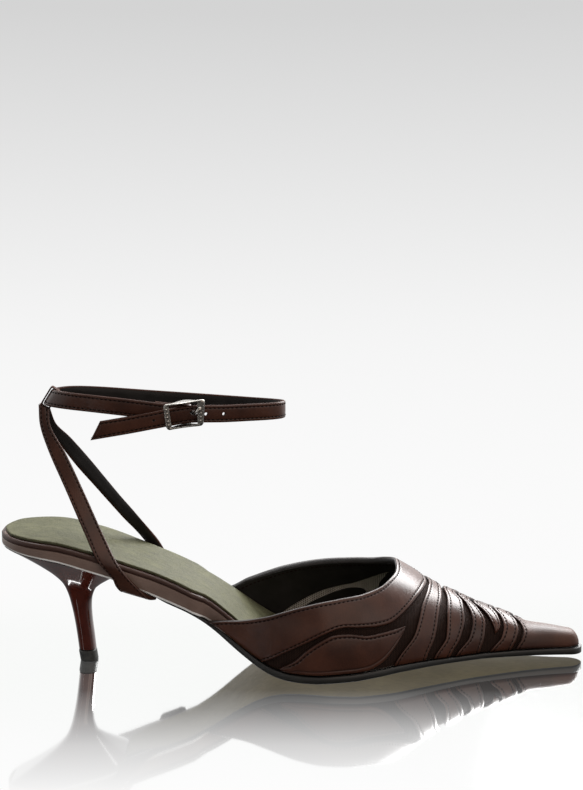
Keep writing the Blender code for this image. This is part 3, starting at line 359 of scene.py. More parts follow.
# Section of the collar's edge at the throat, which rolls over the vamp to its inside, and its underside
ROLL = np.array([
    (0.50, -3.02), (0.12, -3.00), (-0.22, -2.80), (-0.46, -2.35), (-0.56, -1.75), (-0.52, -1.15),
    (-0.36, -0.60), (-0.08, -0.22), (0.30, -0.02), *FOLD[FOLD_ROUND_ROWS:]])
ROLL_UNDER = np.array([
    (0.50, -2.74), (0.12, -2.74), (-0.02, -2.72), (-0.03, -2.50), (-0.03, -2.20), (-0.03, -1.90),
    (-0.03, -1.60), (-0.02, -1.48), (0.30, -UNDER), (0.75, -UNDER), (1.05, -UNDER), (1.30, -UNDER),
    (1.50, -UNDER), (1.66, -UNDER), (1.82, -UNDER), (2.05, -UNDER), (2.45, -UNDER), (3.10, -UNDER)])

# Outer face of a strap next to its edge: distance in from the edge and share of half its thickness
STRAP_FOLD = np.array([
    (0.00, 0.00), (0.04, 0.45), (0.16, 0.78), (0.38, 0.98), (0.70, 1.08), (0.95, 1.04), (1.12, 0.96),
    (1.25, 0.92), (1.38, 0.96), (1.60, 1.02), (2.00, 1.06)])
STRAP_CROWN = 1.09
STRAP_FULL_WIDTH = 5.4
STRAP_STITCH_IN = 1.25
STRAP_STITCH_RISE = 0.46

# The same for its inner face, and the place of that face's middle columns as a share of the width
STRAP_BACK = np.array([(0.16, -0.72), (0.50, -1.00)])
STRAP_BACK_MIDDLE = 0.36

# Wear and darkness next to the edges of overlays and of straps: how strong the wear is, its distance from the
# edge, that of the stitches, and how wide the stitches' trough and the dark rim are. The darkness is painted
# shade in the trough and a rim that is partly edge ink and partly painted shade
OVERLAY_EDGE = {"wear": 0.08, "worn": 0.55, "stitch": STITCH_IN, "trough": 0.36, "rim": 0.40}
STRAP_EDGE = {"wear": 0.10, "worn": 0.35, "stitch": STRAP_STITCH_IN, "trough": 0.30, "rim": 0.30}
WEAR_REACH = 0.35
TROUGH_SHADE = 0.55
TROUGH_FULL = 1.3
RIM_DARK = 0.9

STITCH_PITCH = 1.9
STITCH_LENGTH = 1.3
STITCH_RADIUS = 0.30
STITCH_FLAT = 0.60

# The tent of light: its brightness in front, then the span of the direction over which it changes and the
# brightness that it reaches behind, above and at both ends. Towards below it dims over a span to a share
WORLD_FRONT = 0.09
WORLD_BACK = (-0.10, 0.40, 0.97)
WORLD_TOP = (0.30, 0.90, 0.35)
WORLD_ENDS = (0.72, 0.96, 0.38)
WORLD_BELOW = (-0.45, -0.06, 0.10)

# The sweep, in metres: its floor's radius, the radius of the turn into the wall, and the wall's lowest and
# highest row
SWEEP_FLAT = 1.5
SWEEP_TURN = 0.7
SWEEP_WALL = (0.85, 3.0)

# The sweep's glow by height over the floor, raised a little towards the back. Then how much of the floor is
# a soft mirror, from front to back, from the middle to both ends, and from 0, seen from above, to 1, seen
# along the floor
SWEEP_GLOW_RISE = 0.12
SWEEP_GLOW = ((-0.02, 0.982), (0.06, 0.947), (0.18, 0.896), (0.30, 0.839), (0.50, 0.745), (0.69, 0.658))
SWEEP_MIRROR = (
    (-0.155, 0.0), (-0.10, 0.35), (-0.06, 0.78), (-0.0375, 0.95), (-0.02, 0.97), (0.045, 0.97), (0.12, 0.0))
SWEEP_MIRROR_ENDS = ((0.0, 1.0), (0.16, 1.0), (0.26, 0.0))
SWEEP_MIRROR_GLOSS = ((0.0, 0.0), (0.42, 0.0), (0.62, 1.0), (1.0, 1.0))
SWEEP_MIRROR_ROUGHNESS = 0.045

# Lamps, in metres and watts: place, the point aimed at, size, power, tint, and whether they light matt
# surfaces and glossy ones
WHITE = (1.0, 1.0, 1.0)
LAMPS = {
    "overhead_back": ((-0.15, 0.55, 0.95), (0.0, 0.0, 0.03), (1.0, 0.5), 9.0, WHITE, True, True),
    "key": ((0.55, 0.86, 0.74), (0.06, 0.0, 0.02), (0.9, 0.6), 25.0, WHITE, True, True),
    "overhead": ((0.0, 0.10, 1.1), (0.02, 0.0, 0.03), (0.9, 0.4), 2.2, WHITE, True, True),
    "front_sheen": ((0.5, -0.7, 0.7), (0.05, 0.0, 0.03), (1.2, 1.2), 3.7, (1.0, 0.80, 0.68), True, True),
    "low_front": ((0.0, -1.6, 0.36), (0.0, 0.0, 0.03), (3.0, 0.45), 1.8, (1.0, 0.90, 0.82), False, True),
    "low_heel_end": ((-1.6, 0.0, 0.58), (0.0, 0.0, 0.03), (3.0, 0.95), 3.8, WHITE, False, True),
    "low_toe_end": ((1.6, 0.0, 0.58), (0.0, 0.0, 0.03), (3.0, 0.95), 3.8, WHITE, False, True),
    "low_glint": ((-0.09, 0.17, -0.35), (-0.09, 0.0, 0.03), (0.5, 0.03), 0.30, WHITE, False, True),
    "side_glint": ((-0.47, -0.47, -0.05), (-0.09, 0.0, 0.03), (0.016, 0.5), 0.10, WHITE, False, True),
    "floor_bounce": ((0.0, -0.35, -0.45), (0.0, 0.0, 0.04), (0.9, 0.7), 1.6, WHITE, True, False),
}

# Camera: focal length and sensor in millimetres, place in metres and degrees that it looks down
CAMERA_LENS = 75.2
CAMERA_SENSOR = 36.0
CAMERA_PLACE = (-0.00125, -0.6875, 0.223)
CAMERA_DOWN = 8.8


def smooth(xs, ys):
    """A smooth curve through the points that rises and falls only where they do."""
    steps = np.diff(xs)
    slopes = np.diff(ys) / steps
    tangents = np.zeros(len(xs))
    tangents[0] = slopes[0]
    tangents[-1] = slopes[-1]
    for i in range(1, len(xs) - 1):
        before, after = slopes[i - 1], slopes[i]
        if before * after > 0:
            weight_before = 2 * steps[i] + steps[i - 1]
            weight_after = steps[i] + 2 * steps[i - 1]
            tangents[i] = (weight_before + weight_after) / (weight_before / before + weight_after / after)

    def curve(x):
        x = np.clip(np.asarray(x, float), xs[0], xs[-1])
        k = np.clip(np.searchsorted(xs, x) - 1, 0, len(steps) - 1)
        t = (x - xs[k]) / steps[k]
        value = (1 + 2 * t) * (1 - t) ** 2 * ys[k] + t * t * (3 - 2 * t) * ys[k + 1]
        return value + steps[k] * t * (1 - t) * ((1 - t) * tangents[k] - t * tangents[k + 1])

    return curve


def through(points, count):
    """Points along a smooth curve through the given rows, closer together where the rows are."""
    chord = np.linalg.norm(np.diff(points, axis=0), axis=1)
    along = np.concatenate([[0.0], np.cumsum(np.sqrt(chord))])
    tangents = np.gradient(points, along, axis=0)
    places = np.linspace(0.0, along[-1], count)
    k = np.clip(np.searchsorted(along, places) - 1, 0, len(along) - 2)
    step = (along[k + 1] - along[k])[:, None]
    t = (places - along[k])[:, None] / step
    curve = (1 + 2 * t) * (1 - t) ** 2 * points[k] + t * t * (3 - 2 * t) * points[k + 1]
    return curve + step * t * (1 - t) * ((1 - t) * tangents[k] - t * tangents[k + 1])


axis = smooth(OUTLINE["x"], OUTLINE["axis"])
half_width = smooth(OUTLINE["x"], OUTLINE["half"])
seat_edge = smooth(SIDE["x"], SIDE["seat"])
crown = smooth(SIDE["x"], SIDE["crown"])
insole_top = smooth(SIDE["x"], SIDE["top"])
ridge = smooth(VAMP["x"], VAMP["ridge"])
ridge_shift = smooth(VAMP["x"], VAMP["shift"])
fullness = smooth(VAMP["x"], VAMP["full"])
outsole_outer = smooth(OUTSOLE["x"], OUTSOLE["outer"])
outsole_inner = smooth(OUTSOLE["x"], OUTSOLE["inner"])
outsole_thick = smooth(OUTSOLE["x"], OUTSOLE["thick"])


def both_sides(outer, inner):
    """Rows of one side up to the ridge, continued by those of the other side down to the sole."""
    rows = {}
    for name, values in outer.items():
        back = inner[name][-2::-1]
        rows[name] = np.concatenate([values, 1.0 - back if name.endswith("around") else back])
    return rows


COLLAR = both_sides(COLLAR_OUTER, COLLAR_INNER)


def end_round(distance, run):
    """Share of the full width that is left at a distance from a rounded end."""
    return np.sqrt(np.clip(1.0 - (1.0 - np.clip(distance / run, 0.0, 1.0)) ** 2, 0.0, 1.0))


def seat(x, y):
    """Underside of the insole: level across at the heel, hanging down in the middle of the tread."""
    across = np.clip((y - axis(x)) / half_width(x), -1.0, 1.0)
    return seat_edge(x) - crown(x) * (1.0 - across ** 2)


def place(points):
    """Points of the tables in the part's own frame, in metres."""
    return (np.asarray(points, float).reshape(-1, 3) - MIDDLE) * MILLIMETRE


def unit(vectors):
    return vectors / np.maximum(np.linalg.norm(vectors, axis=-1, keepdims=True), 1e-9)


def once_around(sides):
    """Even angles once around a circle."""
    return np.linspace(0.0, 2.0 * math.pi, sides, endpoint=False)


def squared(angle, power):
    """Cosine and sine of an angle, drawn out to a rounded square the more the lower the power is."""
    cosine, sine = np.cos(angle), np.sin(angle)
    return np.sign(cosine) * np.abs(cosine) ** power, np.sign(sine) * np.abs(sine) ** power


def lengths_along(line):
    """The length of a line up to each of its points."""
    return np.concatenate([[0.0], np.cumsum(np.linalg.norm(np.diff(line, axis=0), axis=1))])


def points_at(where, along, line):
    """Points of a line at some lengths along it."""
    return np.stack([np.interp(where, along, line[:, i]) for i in range(3)], axis=-1)


def joined(shapes):
    """Points and faces of several shapes as those of one."""
    points, faces, count = [], [], 0
    for some_points, some_faces in shapes:
        points.append(some_points)
        faces += [tuple(count + i for i in face) for face in some_faces]
        count += len(some_points)
    return np.concatenate(points), faces


def add_piece(name, slot, nodes, points, faces, finishes, marks=None, sharp=50.0, values=None):
    """One mesh piece on the root body; marks give each face's finish and values hold numbers for each
    point."""
    mesh = bpy.data.meshes.new(name)
    mesh.from_pydata(place(points).tolist(), [], faces)
    for finish in finishes:
        mesh.materials.append(finish)
    if marks is not None:
        mesh.polygons.foreach_set("material_index", np.asarray(marks, np.int32))
    for key, numbers in (values or {}).items():
        kept = mesh.attributes.new(key, "FLOAT", "POINT")
        kept.data.foreach_set("value", np.asarray(numbers, np.float32))
    work = bmesh.new()
    work.from_mesh(mesh)
    bmesh.ops.remove_doubles(work, verts=work.verts, dist=MERGE_DISTANCE)
    bmesh.ops.dissolve_degenerate(work, edges=work.edges, dist=MERGE_DISTANCE / 2.0)
    bmesh.ops.recalc_face_normals(work, faces=work.faces)
    work.to_mesh(mesh)
    work.free()
    mesh.shade_smooth()
    mesh.set_sharp_from_angle(angle=math.radians(sharp))
    made = bpy.data.objects.new(name, mesh)
    bpy.context.collection.objects.link(made)
    if slot:
        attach(made, "root")
    if nodes:
        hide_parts(*nodes)
    return made


def grid_faces(rows, columns, base=0):
    faces = []
    for i in range(rows - 1):
        for j in range(columns - 1):
            a = base + i * columns + j
            faces.append((a, a + 1, a + columns + 1, a + columns))
    return faces


def border(rows, columns):
    """Grid places around the border, in order."""
    around = [i * columns for i in range(rows)]
    around += [(rows - 1) * columns + j for j in range(1, columns)]
    around += [i * columns + columns - 1 for i in range(rows - 2, -1, -1)]
    around += list(range(columns - 2, 0, -1))
    return np.array(around)


def layered(levels):
    """Points and faces of a solid between the first and last of several like grids, walled along their
    borders, and a mark for each face: 0 on the first grid, 1 on the wall and 2 on the last grid."""
    rows, columns = levels[0].shape[:2]
    edge = border(rows, columns)
    size = rows * columns
    points = [levels[0].reshape(-1, 3), levels[-1].reshape(-1, 3)]
    faces = grid_faces(rows, columns) + grid_faces(rows, columns, size)
    marks = [0] * (len(faces) // 2) + [2] * (len(faces) // 2)
    loops = [edge]
    start = 2 * size
    for level in levels[1:-1]:
        points.append(level.reshape(-1, 3)[edge])
        loops.append(np.arange(start, start + len(edge)))
        start += len(edge)
    loops.append(edge + size)
    for low, high in zip(loops, loops[1:]):
        for k in range(len(edge)):
            n = (k + 1) % len(edge)
            faces.append((int(low[k]), int(low[n]), int(high[n]), int(high[k])))
            marks.append(1)
    return np.concatenate(points), faces, marks


def stations(start, end, start_round, end_round_length, step):
    """Places along the shoe, close together in the rounded ends and evenly spread between."""
    turn = 1.0 - np.cos(np.linspace(0.0, math.pi / 2, 25))
    inner = np.arange(0.0, LENGTH, step)
    clear = step * 0.4
    inner = inner[(inner > start + start_round + clear) & (inner < end - end_round_length - clear)]
    return np.concatenate([start + start_round * turn, inner, (end - end_round_length * turn)[::-1]])


def level_grid(xs, outer, inner, columns, height):
    """A grid over the plan: each row spans the half widths to both sides at its x, at the given height."""
    across = np.linspace(0.0, 1.0, columns)
    x = np.repeat(xs[:, None], columns, axis=1)
    y = (axis(xs) - outer)[:, None] + (outer + inner)[:, None] * across[None, :]
    return np.stack([x, y, height(x, y)], axis=-1)


def upper_point(x, around, inset):
    """A point of the upper: x along the shoe, around its section from the outer side of the sole (0)
    over the ridge (0.5) to the inner side (1), and inset into the shoe from the overlays' face."""
    tip = UPPER_TIP - inset
    x = np.minimum(x, tip)
    half = (half_width(x) - inset) * end_round(tip - x, TOE_ROUND)
    shift = np.minimum(ridge_shift(x), MOST_SHIFT * half)
    cosine = np.cos(math.pi * around)
    sine = np.clip(np.sin(math.pi * around), 0.0, 1.0)
    power = 2.0 / fullness(x)
    reach = np.where(cosine > 0.0, -(half + shift), half - shift)
    rise = (ridge(x) - inset - seat_edge(x)) * end_round(tip - x, UPPER_TIP_ROUND)
    y = axis(x) + shift + reach * np.abs(cosine) ** power
    z = seat_edge(x) + rise * sine ** power
    return np.stack(np.broadcast_arrays(x, y, z), axis=-1)


def toe_shares(even, turned, turn_share):
    """Shares of the way to the tip: even steps, then closer ones where the toe turns down."""
    first = np.linspace(0.0, 1.0 - turn_share, even, endpoint=False)
    turn = np.sin(np.linspace(0.0, math.pi / 2, turned))
    return np.concatenate([first, 1.0 - turn_share + turn_share * turn])


def edge_curve(around, values):
    """A strip's edge: given up to the ridge and mirrored down the other side."""
    around = np.asarray(around, float)
    values = np.asarray(values, float)
    return smooth(np.concatenate([around, 1.0 - around[-2::-1]]), np.concatenate([values, values[-2::-1]]))


class Nodes:
    """Short ways to add nodes to a tree."""

    def __init__(self, tree):
        self.tree = tree

    def node(self, kind, inputs, **settings):
        made = self.tree.nodes.new("ShaderNode" + kind)
        for key, value in settings.items():
            setattr(made, key, value)
        for key, value in inputs.items():
            if isinstance(value, bpy.types.NodeSocket):
                self.tree.links.new(value, made.inputs[key])
            else:
                made.inputs[key].default_value = value
        return made

    def math(self, operation, first, second=0.0):
        return self.node("Math", {0: first, 1: second}, operation=operation).outputs[0]

    def ramp(self, fac, low, high, start=0.0, end=1.0):
        """A number that goes from start to end while fac goes from low to high."""
        inputs = {"Value": fac, "From Min": low, "From Max": high, "To Min": start, "To Max": end}
        return self.node("MapRange", inputs).outputs["Result"]

    def stops(self, fac, rows):
        """Greys that follow fac through the rows, each a number and a level."""
        low, high = rows[0][0], rows[-1][0]
        made = self.node("ValToRGB", {"Fac": self.ramp(fac, low, high)})
        elements = made.color_ramp.elements
        elements[0].color = (rows[0][1],) * 3 + (1.0,)
        elements[1].color = (rows[-1][1],) * 3 + (1.0,)
        for number, level in rows[1:-1]:
            elements.new((number - low) / (high - low)).color = (level,) * 3 + (1.0,)
        return made.outputs["Color"]

    def mix(self, fac, first, second):
        made = self.node("Mix", {0: fac, 6: first, 7: second}, data_type="RGBA")
        return made.outputs[2]


class Finish(Nodes):
    """A node material in the making: its shader, the object coordinates and short ways to add patterns."""

    def __init__(self, name, **sockets):
        self.material = bpy.data.materials.new(name)
        self.material.use_nodes = True
        super().__init__(self.material.node_tree)
        self.shader = self.tree.nodes["Principled BSDF"]
        self.place = self.node("TexCoord", {}).outputs["Object"]
        for key, value in sockets.items():
            self.shader.inputs[key.replace("_", " ")].default_value = value

    def scaled(self, scale):
        """Object coordinates in millimetres, scaled by axis."""
        made = self.node("Mapping", {"Vector": self.place, "Scale": tuple(1000.0 * s for s in scale)})
        return made.outputs["Vector"]

    def noise(self, size, detail=3.0, roughness=0.55, stretch=(1.0, 1.0, 1.0)):
        """Noise whose features are about size millimetres across."""
        where = self.scaled([s / size for s in stretch])
        inputs = {"Vector": where, "Scale": 1.0, "Detail": detail, "Roughness": roughness}
        return self.node("TexNoise", inputs).outputs["Fac"]

    def cells(self, size):
        """Distances in cells about size millimetres across."""
        where = self.scaled([1.0 / size] * 3)
        return self.node("TexVoronoi", {"Vector": where, "Scale": 1.0}).outputs["Distance"]

    def value(self, name):
        """Numbers kept on the mesh's points."""
        return self.node("Attribute", {}, attribute_name=name).outputs["Fac"]

    def link(self, socket, output):
        self.tree.links.new(output, self.shader.inputs[socket])

    def bump(self, *layers):
        """Bumps on top of each other, each a height, its depth in millimetres and its strength."""
        normal = None
        for height, depth, strength in layers:
            inputs = {"Height": height, "Distance": depth * MILLIMETRE, "Strength": strength}
            if normal is not None:
                inputs["Normal"] = normal
            normal = self.node("Bump", inputs).outputs["Normal"]
        self.link("Normal", normal)


def colour(red, green, blue):
    return (red, green, blue, 1.0)


# Dark colour for painted shade in the stitch troughs and for the edge rims, partly edge ink and partly
# painted shade
SEAM_SHADE_AND_RIM = colour(0.008, 0.003, 0.002)


def leather(name, deep, mid, worn, low_rough, high_rough):
    """Smooth calf with fine grain and drawn creases, cloudy dye, paler folds where the wear value is high
    and, where the seam value is, painted shade in the stitch troughs and a dark rim along the edges that is
    partly edge ink and partly painted shade."""
    made = Finish(name, Specular_IOR_Level=0.38, Coat_Weight=0.06, Coat_Roughness=0.24)
    clouds = made.noise(14.0, 4.0)
    pores = made.noise(0.7, 2.0)
    grain = made.cells(0.62)
    creases = made.noise(1.5, 3.0, 0.6, (1.0, 0.45, 0.35))
    dye = made.mix(made.ramp(clouds, 0.30, 0.72), deep, mid)
    dye = made.mix(made.ramp(pores, 0.62, 0.40, 0.0, 0.20), dye, deep)
    dye = made.mix(made.value("wear"), dye, worn)
    made.link("Base Color", made.mix(made.value("seam"), dye, SEAM_SHADE_AND_RIM))
    gloss = made.math("ADD", made.math("MULTIPLY", clouds, 0.7), made.math("MULTIPLY", pores, 0.3))
    made.link("Roughness", made.ramp(gloss, 0.30, 0.70, low_rough, high_rough))
    made.bump((creases, 0.13, 0.34), (grain, 0.06, 0.28), (pores, 0.03, 0.22))
    return made.material


def weave(name, deep, pale, pitch, roughness, specular):
    """Plain woven mesh: two crossed sets of threads, whose places on the cloth are kept on the mesh."""
    made = Finish(name, Roughness=roughness, Specular_IOR_Level=specular)
    turns = 2.0 * math.pi / pitch
    across = made.math("SINE", made.math("MULTIPLY", made.value("cloth_u"), turns))
    along = made.math("SINE", made.math("MULTIPLY", made.value("cloth_v"), turns))
    check = made.math("MULTIPLY", across, along)
    height = made.math("MAXIMUM", made.math("ABSOLUTE", across), made.math("ABSOLUTE", along))
    uneven = made.ramp(made.noise(3.0), 0.25, 0.75, 0.55, 1.0)
    light = made.math("MULTIPLY", made.ramp(check, -0.4, 0.9), uneven)
    made.link("Base Color", made.mix(light, deep, pale))
    made.bump((made.math("ADD", height, made.math("MULTIPLY", check, 0.5)), 0.12, 0.8))
    return made.material


def lining(name, base, sheen, roughness, specular=0.25):
    """Close, thin lining leather with a faint grain."""
    made = Finish(name, Specular_IOR_Level=specular)
    clouds = made.noise(9.0, 4.0)
    grain = made.noise(0.5, 3.0, 0.7)
    made.link("Base Color", made.mix(made.ramp(clouds, 0.3, 0.7), base, sheen))
    made.link("Roughness", made.ramp(clouds, 0.3, 0.7, roughness - 0.06, roughness + 0.08))
    made.bump((grain, 0.05, 0.4))
    return made.material


def sock_leather():
    """Olive lining leather with a fine pebble and the slight polish of handling."""
    made = Finish("olive_sock", Specular_IOR_Level=0.08)
    clouds = made.noise(9.0, 6.0, 0.72)
    rubbed = made.noise(3.4, 5.0, 0.70, (0.55, 1.30, 1.0))
    grain = made.cells(0.75)
    fine = made.noise(0.45, 2.0)
    tone = made.mix(made.ramp(clouds, 0.34, 0.66), colour(0.045, 0.045, 0.019), colour(0.120, 0.119, 0.066))
    tone = made.mix(made.ramp(rubbed, 0.40, 0.68, 0.0, 0.75), tone, colour(0.028, 0.028, 0.011))
    tone = made.mix(made.ramp(grain, 0.15, 0.75, 0.0, 0.50), tone, colour(0.125, 0.125, 0.082))
    made.link("Base Color", tone)
    made.link("Roughness", made.ramp(clouds, 0.3, 0.7, 0.50, 0.66))
    made.bump((grain, 0.12, 0.60), (fine, 0.04, 0.45))
    return made.material


def lacquer():
    """Glossy oxblood lacquer, deeper in places and with a faint orange peel."""
    made = Finish("oxblood_lacquer", Coat_Weight=1.0, Coat_Roughness=0.03)
    clouds = made.noise(11.0, 3.0)
    peel = made.noise(1.6, 2.0)
    tone = made.mix(made.ramp(clouds, 0.3, 0.7), colour(0.060, 0.010, 0.006), colour(0.110, 0.021, 0.012))
    made.link("Base Color", tone)
    made.link("Roughness", made.ramp(clouds, 0.3, 0.7, 0.10, 0.17))
    made.bump((peel, 0.02, 0.25))
    return made.material


def rubber():
    """Moulded dark grey rubber with fine specks and dull, scuffed patches."""
    made = Finish("heel_rubber")
    specks = made.noise(0.4, 2.0)
    scuffs = made.noise(2.4, 4.0, 0.65)
    tone = made.mix(made.ramp(scuffs, 0.4, 0.8), colour(0.030, 0.032, 0.030), colour(0.085, 0.088, 0.082))
    made.link("Base Color", tone)
    made.link("Roughness", made.ramp(scuffs, 0.3, 0.7, 0.42, 0.70))
    made.bump((specks, 0.05, 0.4))
    return made.material


def sole_edge():
    """Inked and waxed edge of the sole, with fine lines along it."""
    made = Finish("sole_edge_ink", Coat_Weight=0.15, Coat_Roughness=0.25)
    layers = made.noise(1.1, 3.0, 0.6, (0.05, 0.2, 2.2))
    clouds = made.noise(16.0, 3.0)
    tone = made.mix(made.ramp(clouds, 0.3, 0.7), colour(0.008, 0.008, 0.007), colour(0.016, 0.016, 0.014))
    tone = made.mix(made.ramp(layers, 0.45, 0.75, 0.0, 0.4), tone, colour(0.030, 0.029, 0.025))
    made.link("Base Color", tone)
    made.link("Roughness", made.ramp(layers, 0.3, 0.7, 0.34, 0.50))
    made.bump((layers, 0.06, 0.4))
    return made.material


def sole_underside():
    """Buffed beige sole leather with a fleshy fibre and slight stains."""
    made = Finish("sole_underside", Specular_IOR_Level=0.10)
    fibre = made.noise(1.4, 4.0, 0.65, (0.35, 1.6, 1.0))
    stains = made.noise(26.0, 4.0)
    tone = made.mix(made.ramp(stains, 0.3, 0.72), colour(0.155, 0.116, 0.046), colour(0.260, 0.203, 0.094))
    tone = made.mix(made.ramp(fibre, 0.45, 0.8, 0.0, 0.3), tone, colour(0.05, 0.04, 0.022))
    made.link("Base Color", tone)
    made.link("Roughness", made.ramp(fibre, 0.3, 0.7, 0.36, 0.55))
    made.bump((fibre, 0.06, 0.35))
    return made.material


def nickel(name, bright, dull, rough):
    """Worn antique nickel: patches of polish and of dark, dull tarnish spread at random."""
    made = Finish(name, Metallic=1.0)
    tarnish = made.noise(0.9, 4.0, 0.65)
    scratches = made.noise(0.25, 2.0, 0.5, (0.2, 1.0, 1.0))
    made.link("Base Color", made.mix(made.ramp(tarnish, 0.36, 0.66), dull, bright))
    made.link("Roughness", made.ramp(tarnish, 0.3, 0.7, rough + 0.18, rough))
    made.bump((scratches, 0.02, 0.35))
    return made.material


def thread(name, deep, light):
    """Waxed sewing thread with the slant of its twist."""
    made = Finish(name, Specular_IOR_Level=0.04)
    twist = made.noise(0.16, 2.0, 0.5, (1.0, 1.0, 2.5))
    made.link("Base Color", made.mix(made.ramp(twist, 0.3, 0.7), deep, light))
    made.link("Roughness", made.ramp(twist, 0.3, 0.7, 0.45, 0.65))
    made.bump((twist, 0.04, 0.5))
    return made.material


BROWN = leather(
    "brown_calf", colour(0.032, 0.010, 0.005), colour(0.082, 0.027, 0.013), colour(0.150, 0.072, 0.044),
    0.27, 0.35)
CAP_CALF = leather(
    "cap_calf", colour(0.034, 0.011, 0.006), colour(0.088, 0.031, 0.016), colour(0.150, 0.072, 0.044),
    0.50, 0.60)
BEAD_CALF = leather(
    "bead_calf", colour(0.036, 0.013, 0.008), colour(0.066, 0.026, 0.016), colour(0.20, 0.11, 0.08),
    0.44, 0.56)
# The platform's side: its pale grey-brown tone is partly the leather's own and partly painted light from the
# floor below
BAND = leather(
    "platform_calf", colour(0.165, 0.110, 0.088), colour(0.245, 0.174, 0.142), colour(0.30, 0.23, 0.19),
    0.38, 0.50)
# Painted highlight: a pale paint on the platform's lowest rim bands that stands in for light caught along its
# lower edge
EDGE_HIGHLIGHT = lining("painted_edge_highlight", colour(0.80, 0.78, 0.75), colour(0.92, 0.90, 0.87), 0.40)
MESH = weave("dark_mesh", colour(0.008, 0.004, 0.003), colour(0.052, 0.028, 0.020), 0.95, 0.80, 0.10)
# Painted light: the pale weave on the vamp's inside stands in for light shining through the mesh from outside
BACKLIT_MESH_PAINT = weave("inner_mesh_painted_backlight", colour(0.10, 0.085, 0.070), colour(0.92, 0.88, 0.82), 1.15, 0.65, 0.40)
BLACK = lining("black_lining", colour(0.0080, 0.0070, 0.0068), colour(0.0180, 0.0162, 0.0155), 0.46)
LOOP_CALF = lining("loop_leather", colour(0.028, 0.011, 0.007), colour(0.055, 0.022, 0.014), 0.60, 0.06)
SOCK = sock_leather()
LACQUER = lacquer()
RUBBER = rubber()
EDGE_INK = sole_edge()
BEIGE = sole_underside()
METAL = nickel("aged_nickel", colour(0.52, 0.50, 0.46), colour(0.24, 0.23, 0.21), 0.24)
BEAD_METAL = nickel("bead_nickel", colour(0.66, 0.64, 0.59), colour(0.36, 0.34, 0.31), 0.18)
THREAD = thread("brown_thread", colour(0.008, 0.004, 0.003), colour(0.018, 0.009, 0.007))

# Finishes of a strap by its faces' marks: outside, lining, and edges and loop
STRAP_FINISHES = [BROWN, BLACK, LOOP_CALF]
EDGE_MARK = 2

# Rows of stitches, each its points and the leather's outward directions there
stitch_rows = []


def upper_normal(x, around):
    """Outward direction of the upper's face."""
    ahead = upper_point(x + STEP_ALONG, around, 0.0) - upper_point(x - STEP_ALONG, around, 0.0)
    over = upper_point(x, around + STEP_AROUND, 0.0) - upper_point(x, around - STEP_AROUND, 0.0)
    return unit(np.cross(ahead, over))


def sew(points, normals):
    """Keeps a row of stitches along the points for the piece that holds them all."""
    stitch_rows.append((np.asarray(points), np.asarray(normals)))


def sew_upper(x, around, inset, side=1.0):
    """A row of stitches on the upper's outside (1) or inside (-1)."""
    normals = upper_normal(x, np.clip(around, NORMAL_MARGIN, 1.0 - NORMAL_MARGIN))
    sew(upper_point(x, around, inset), normals * side)


def between(start, end, share):
    """x and place around at a share of the way from one edge to the other, each an x and a place around."""
    x = start[0] + (end[0] - start[0]) * share
    return x, np.clip(start[1] + (end[1] - start[1]) * share, 0.0, 1.0)


def upper_width(start, end):
    """Length across the upper from one edge to the other, row by row."""
    line = upper_point(*between(start, end, np.linspace(0.0, 1.0, 13)[:, None]), 0.0)
    return np.linalg.norm(np.diff(line, axis=0), axis=2).sum(axis=0)


def feather(x, around):
    """How far the upper is drawn in where it meets the sole."""
    above = upper_point(x, around, 0.0)[..., 2] - seat_edge(x)
    return FEATHER_DEPTH * np.clip(1.0 - above / FEATHER_HEIGHT, 0.0, 1.0) ** 2


def swell(x, around):
    """Slight unevenness of lasted leather."""
    wave = np.sin(x * 0.31 + 9.0 * around) * np.sin(x * 0.13 - 14.0 * around + 1.0)
    return SWELL * wave


def edge_values(distance, rows, edge, before=0):
    """Wear on the folds, painted shade in the troughs at the seams and a dark rim, partly edge ink and partly
    painted shade, by the columns' distance from the edge, the same in each row and after some zeros."""
    wear = edge["wear"] * np.clip(1.0 - np.abs(distance - edge["worn"]) / WEAR_REACH, 0.0, 1.0)
    # Painted shade in the stitches' trough, and a dark rim at the edge that is partly edge ink and partly
    # painted shade
    trough = TROUGH_FULL - np.abs(distance - edge["stitch"]) / edge["trough"]
    seam = TROUGH_SHADE * np.clip(trough, 0.0, 1.0)
    seam = np.maximum(seam, RIM_DARK * np.clip(1.0 - distance / edge["rim"], 0.0, 1.0))
    return {"wear": np.concatenate([np.zeros(before), np.tile(wear, rows)]),
            "seam": np.concatenate([np.zeros(before), np.tile(seam, rows)])}


def no_wear(count):
    return {"wear": np.zeros(count), "seam": np.zeros(count)}


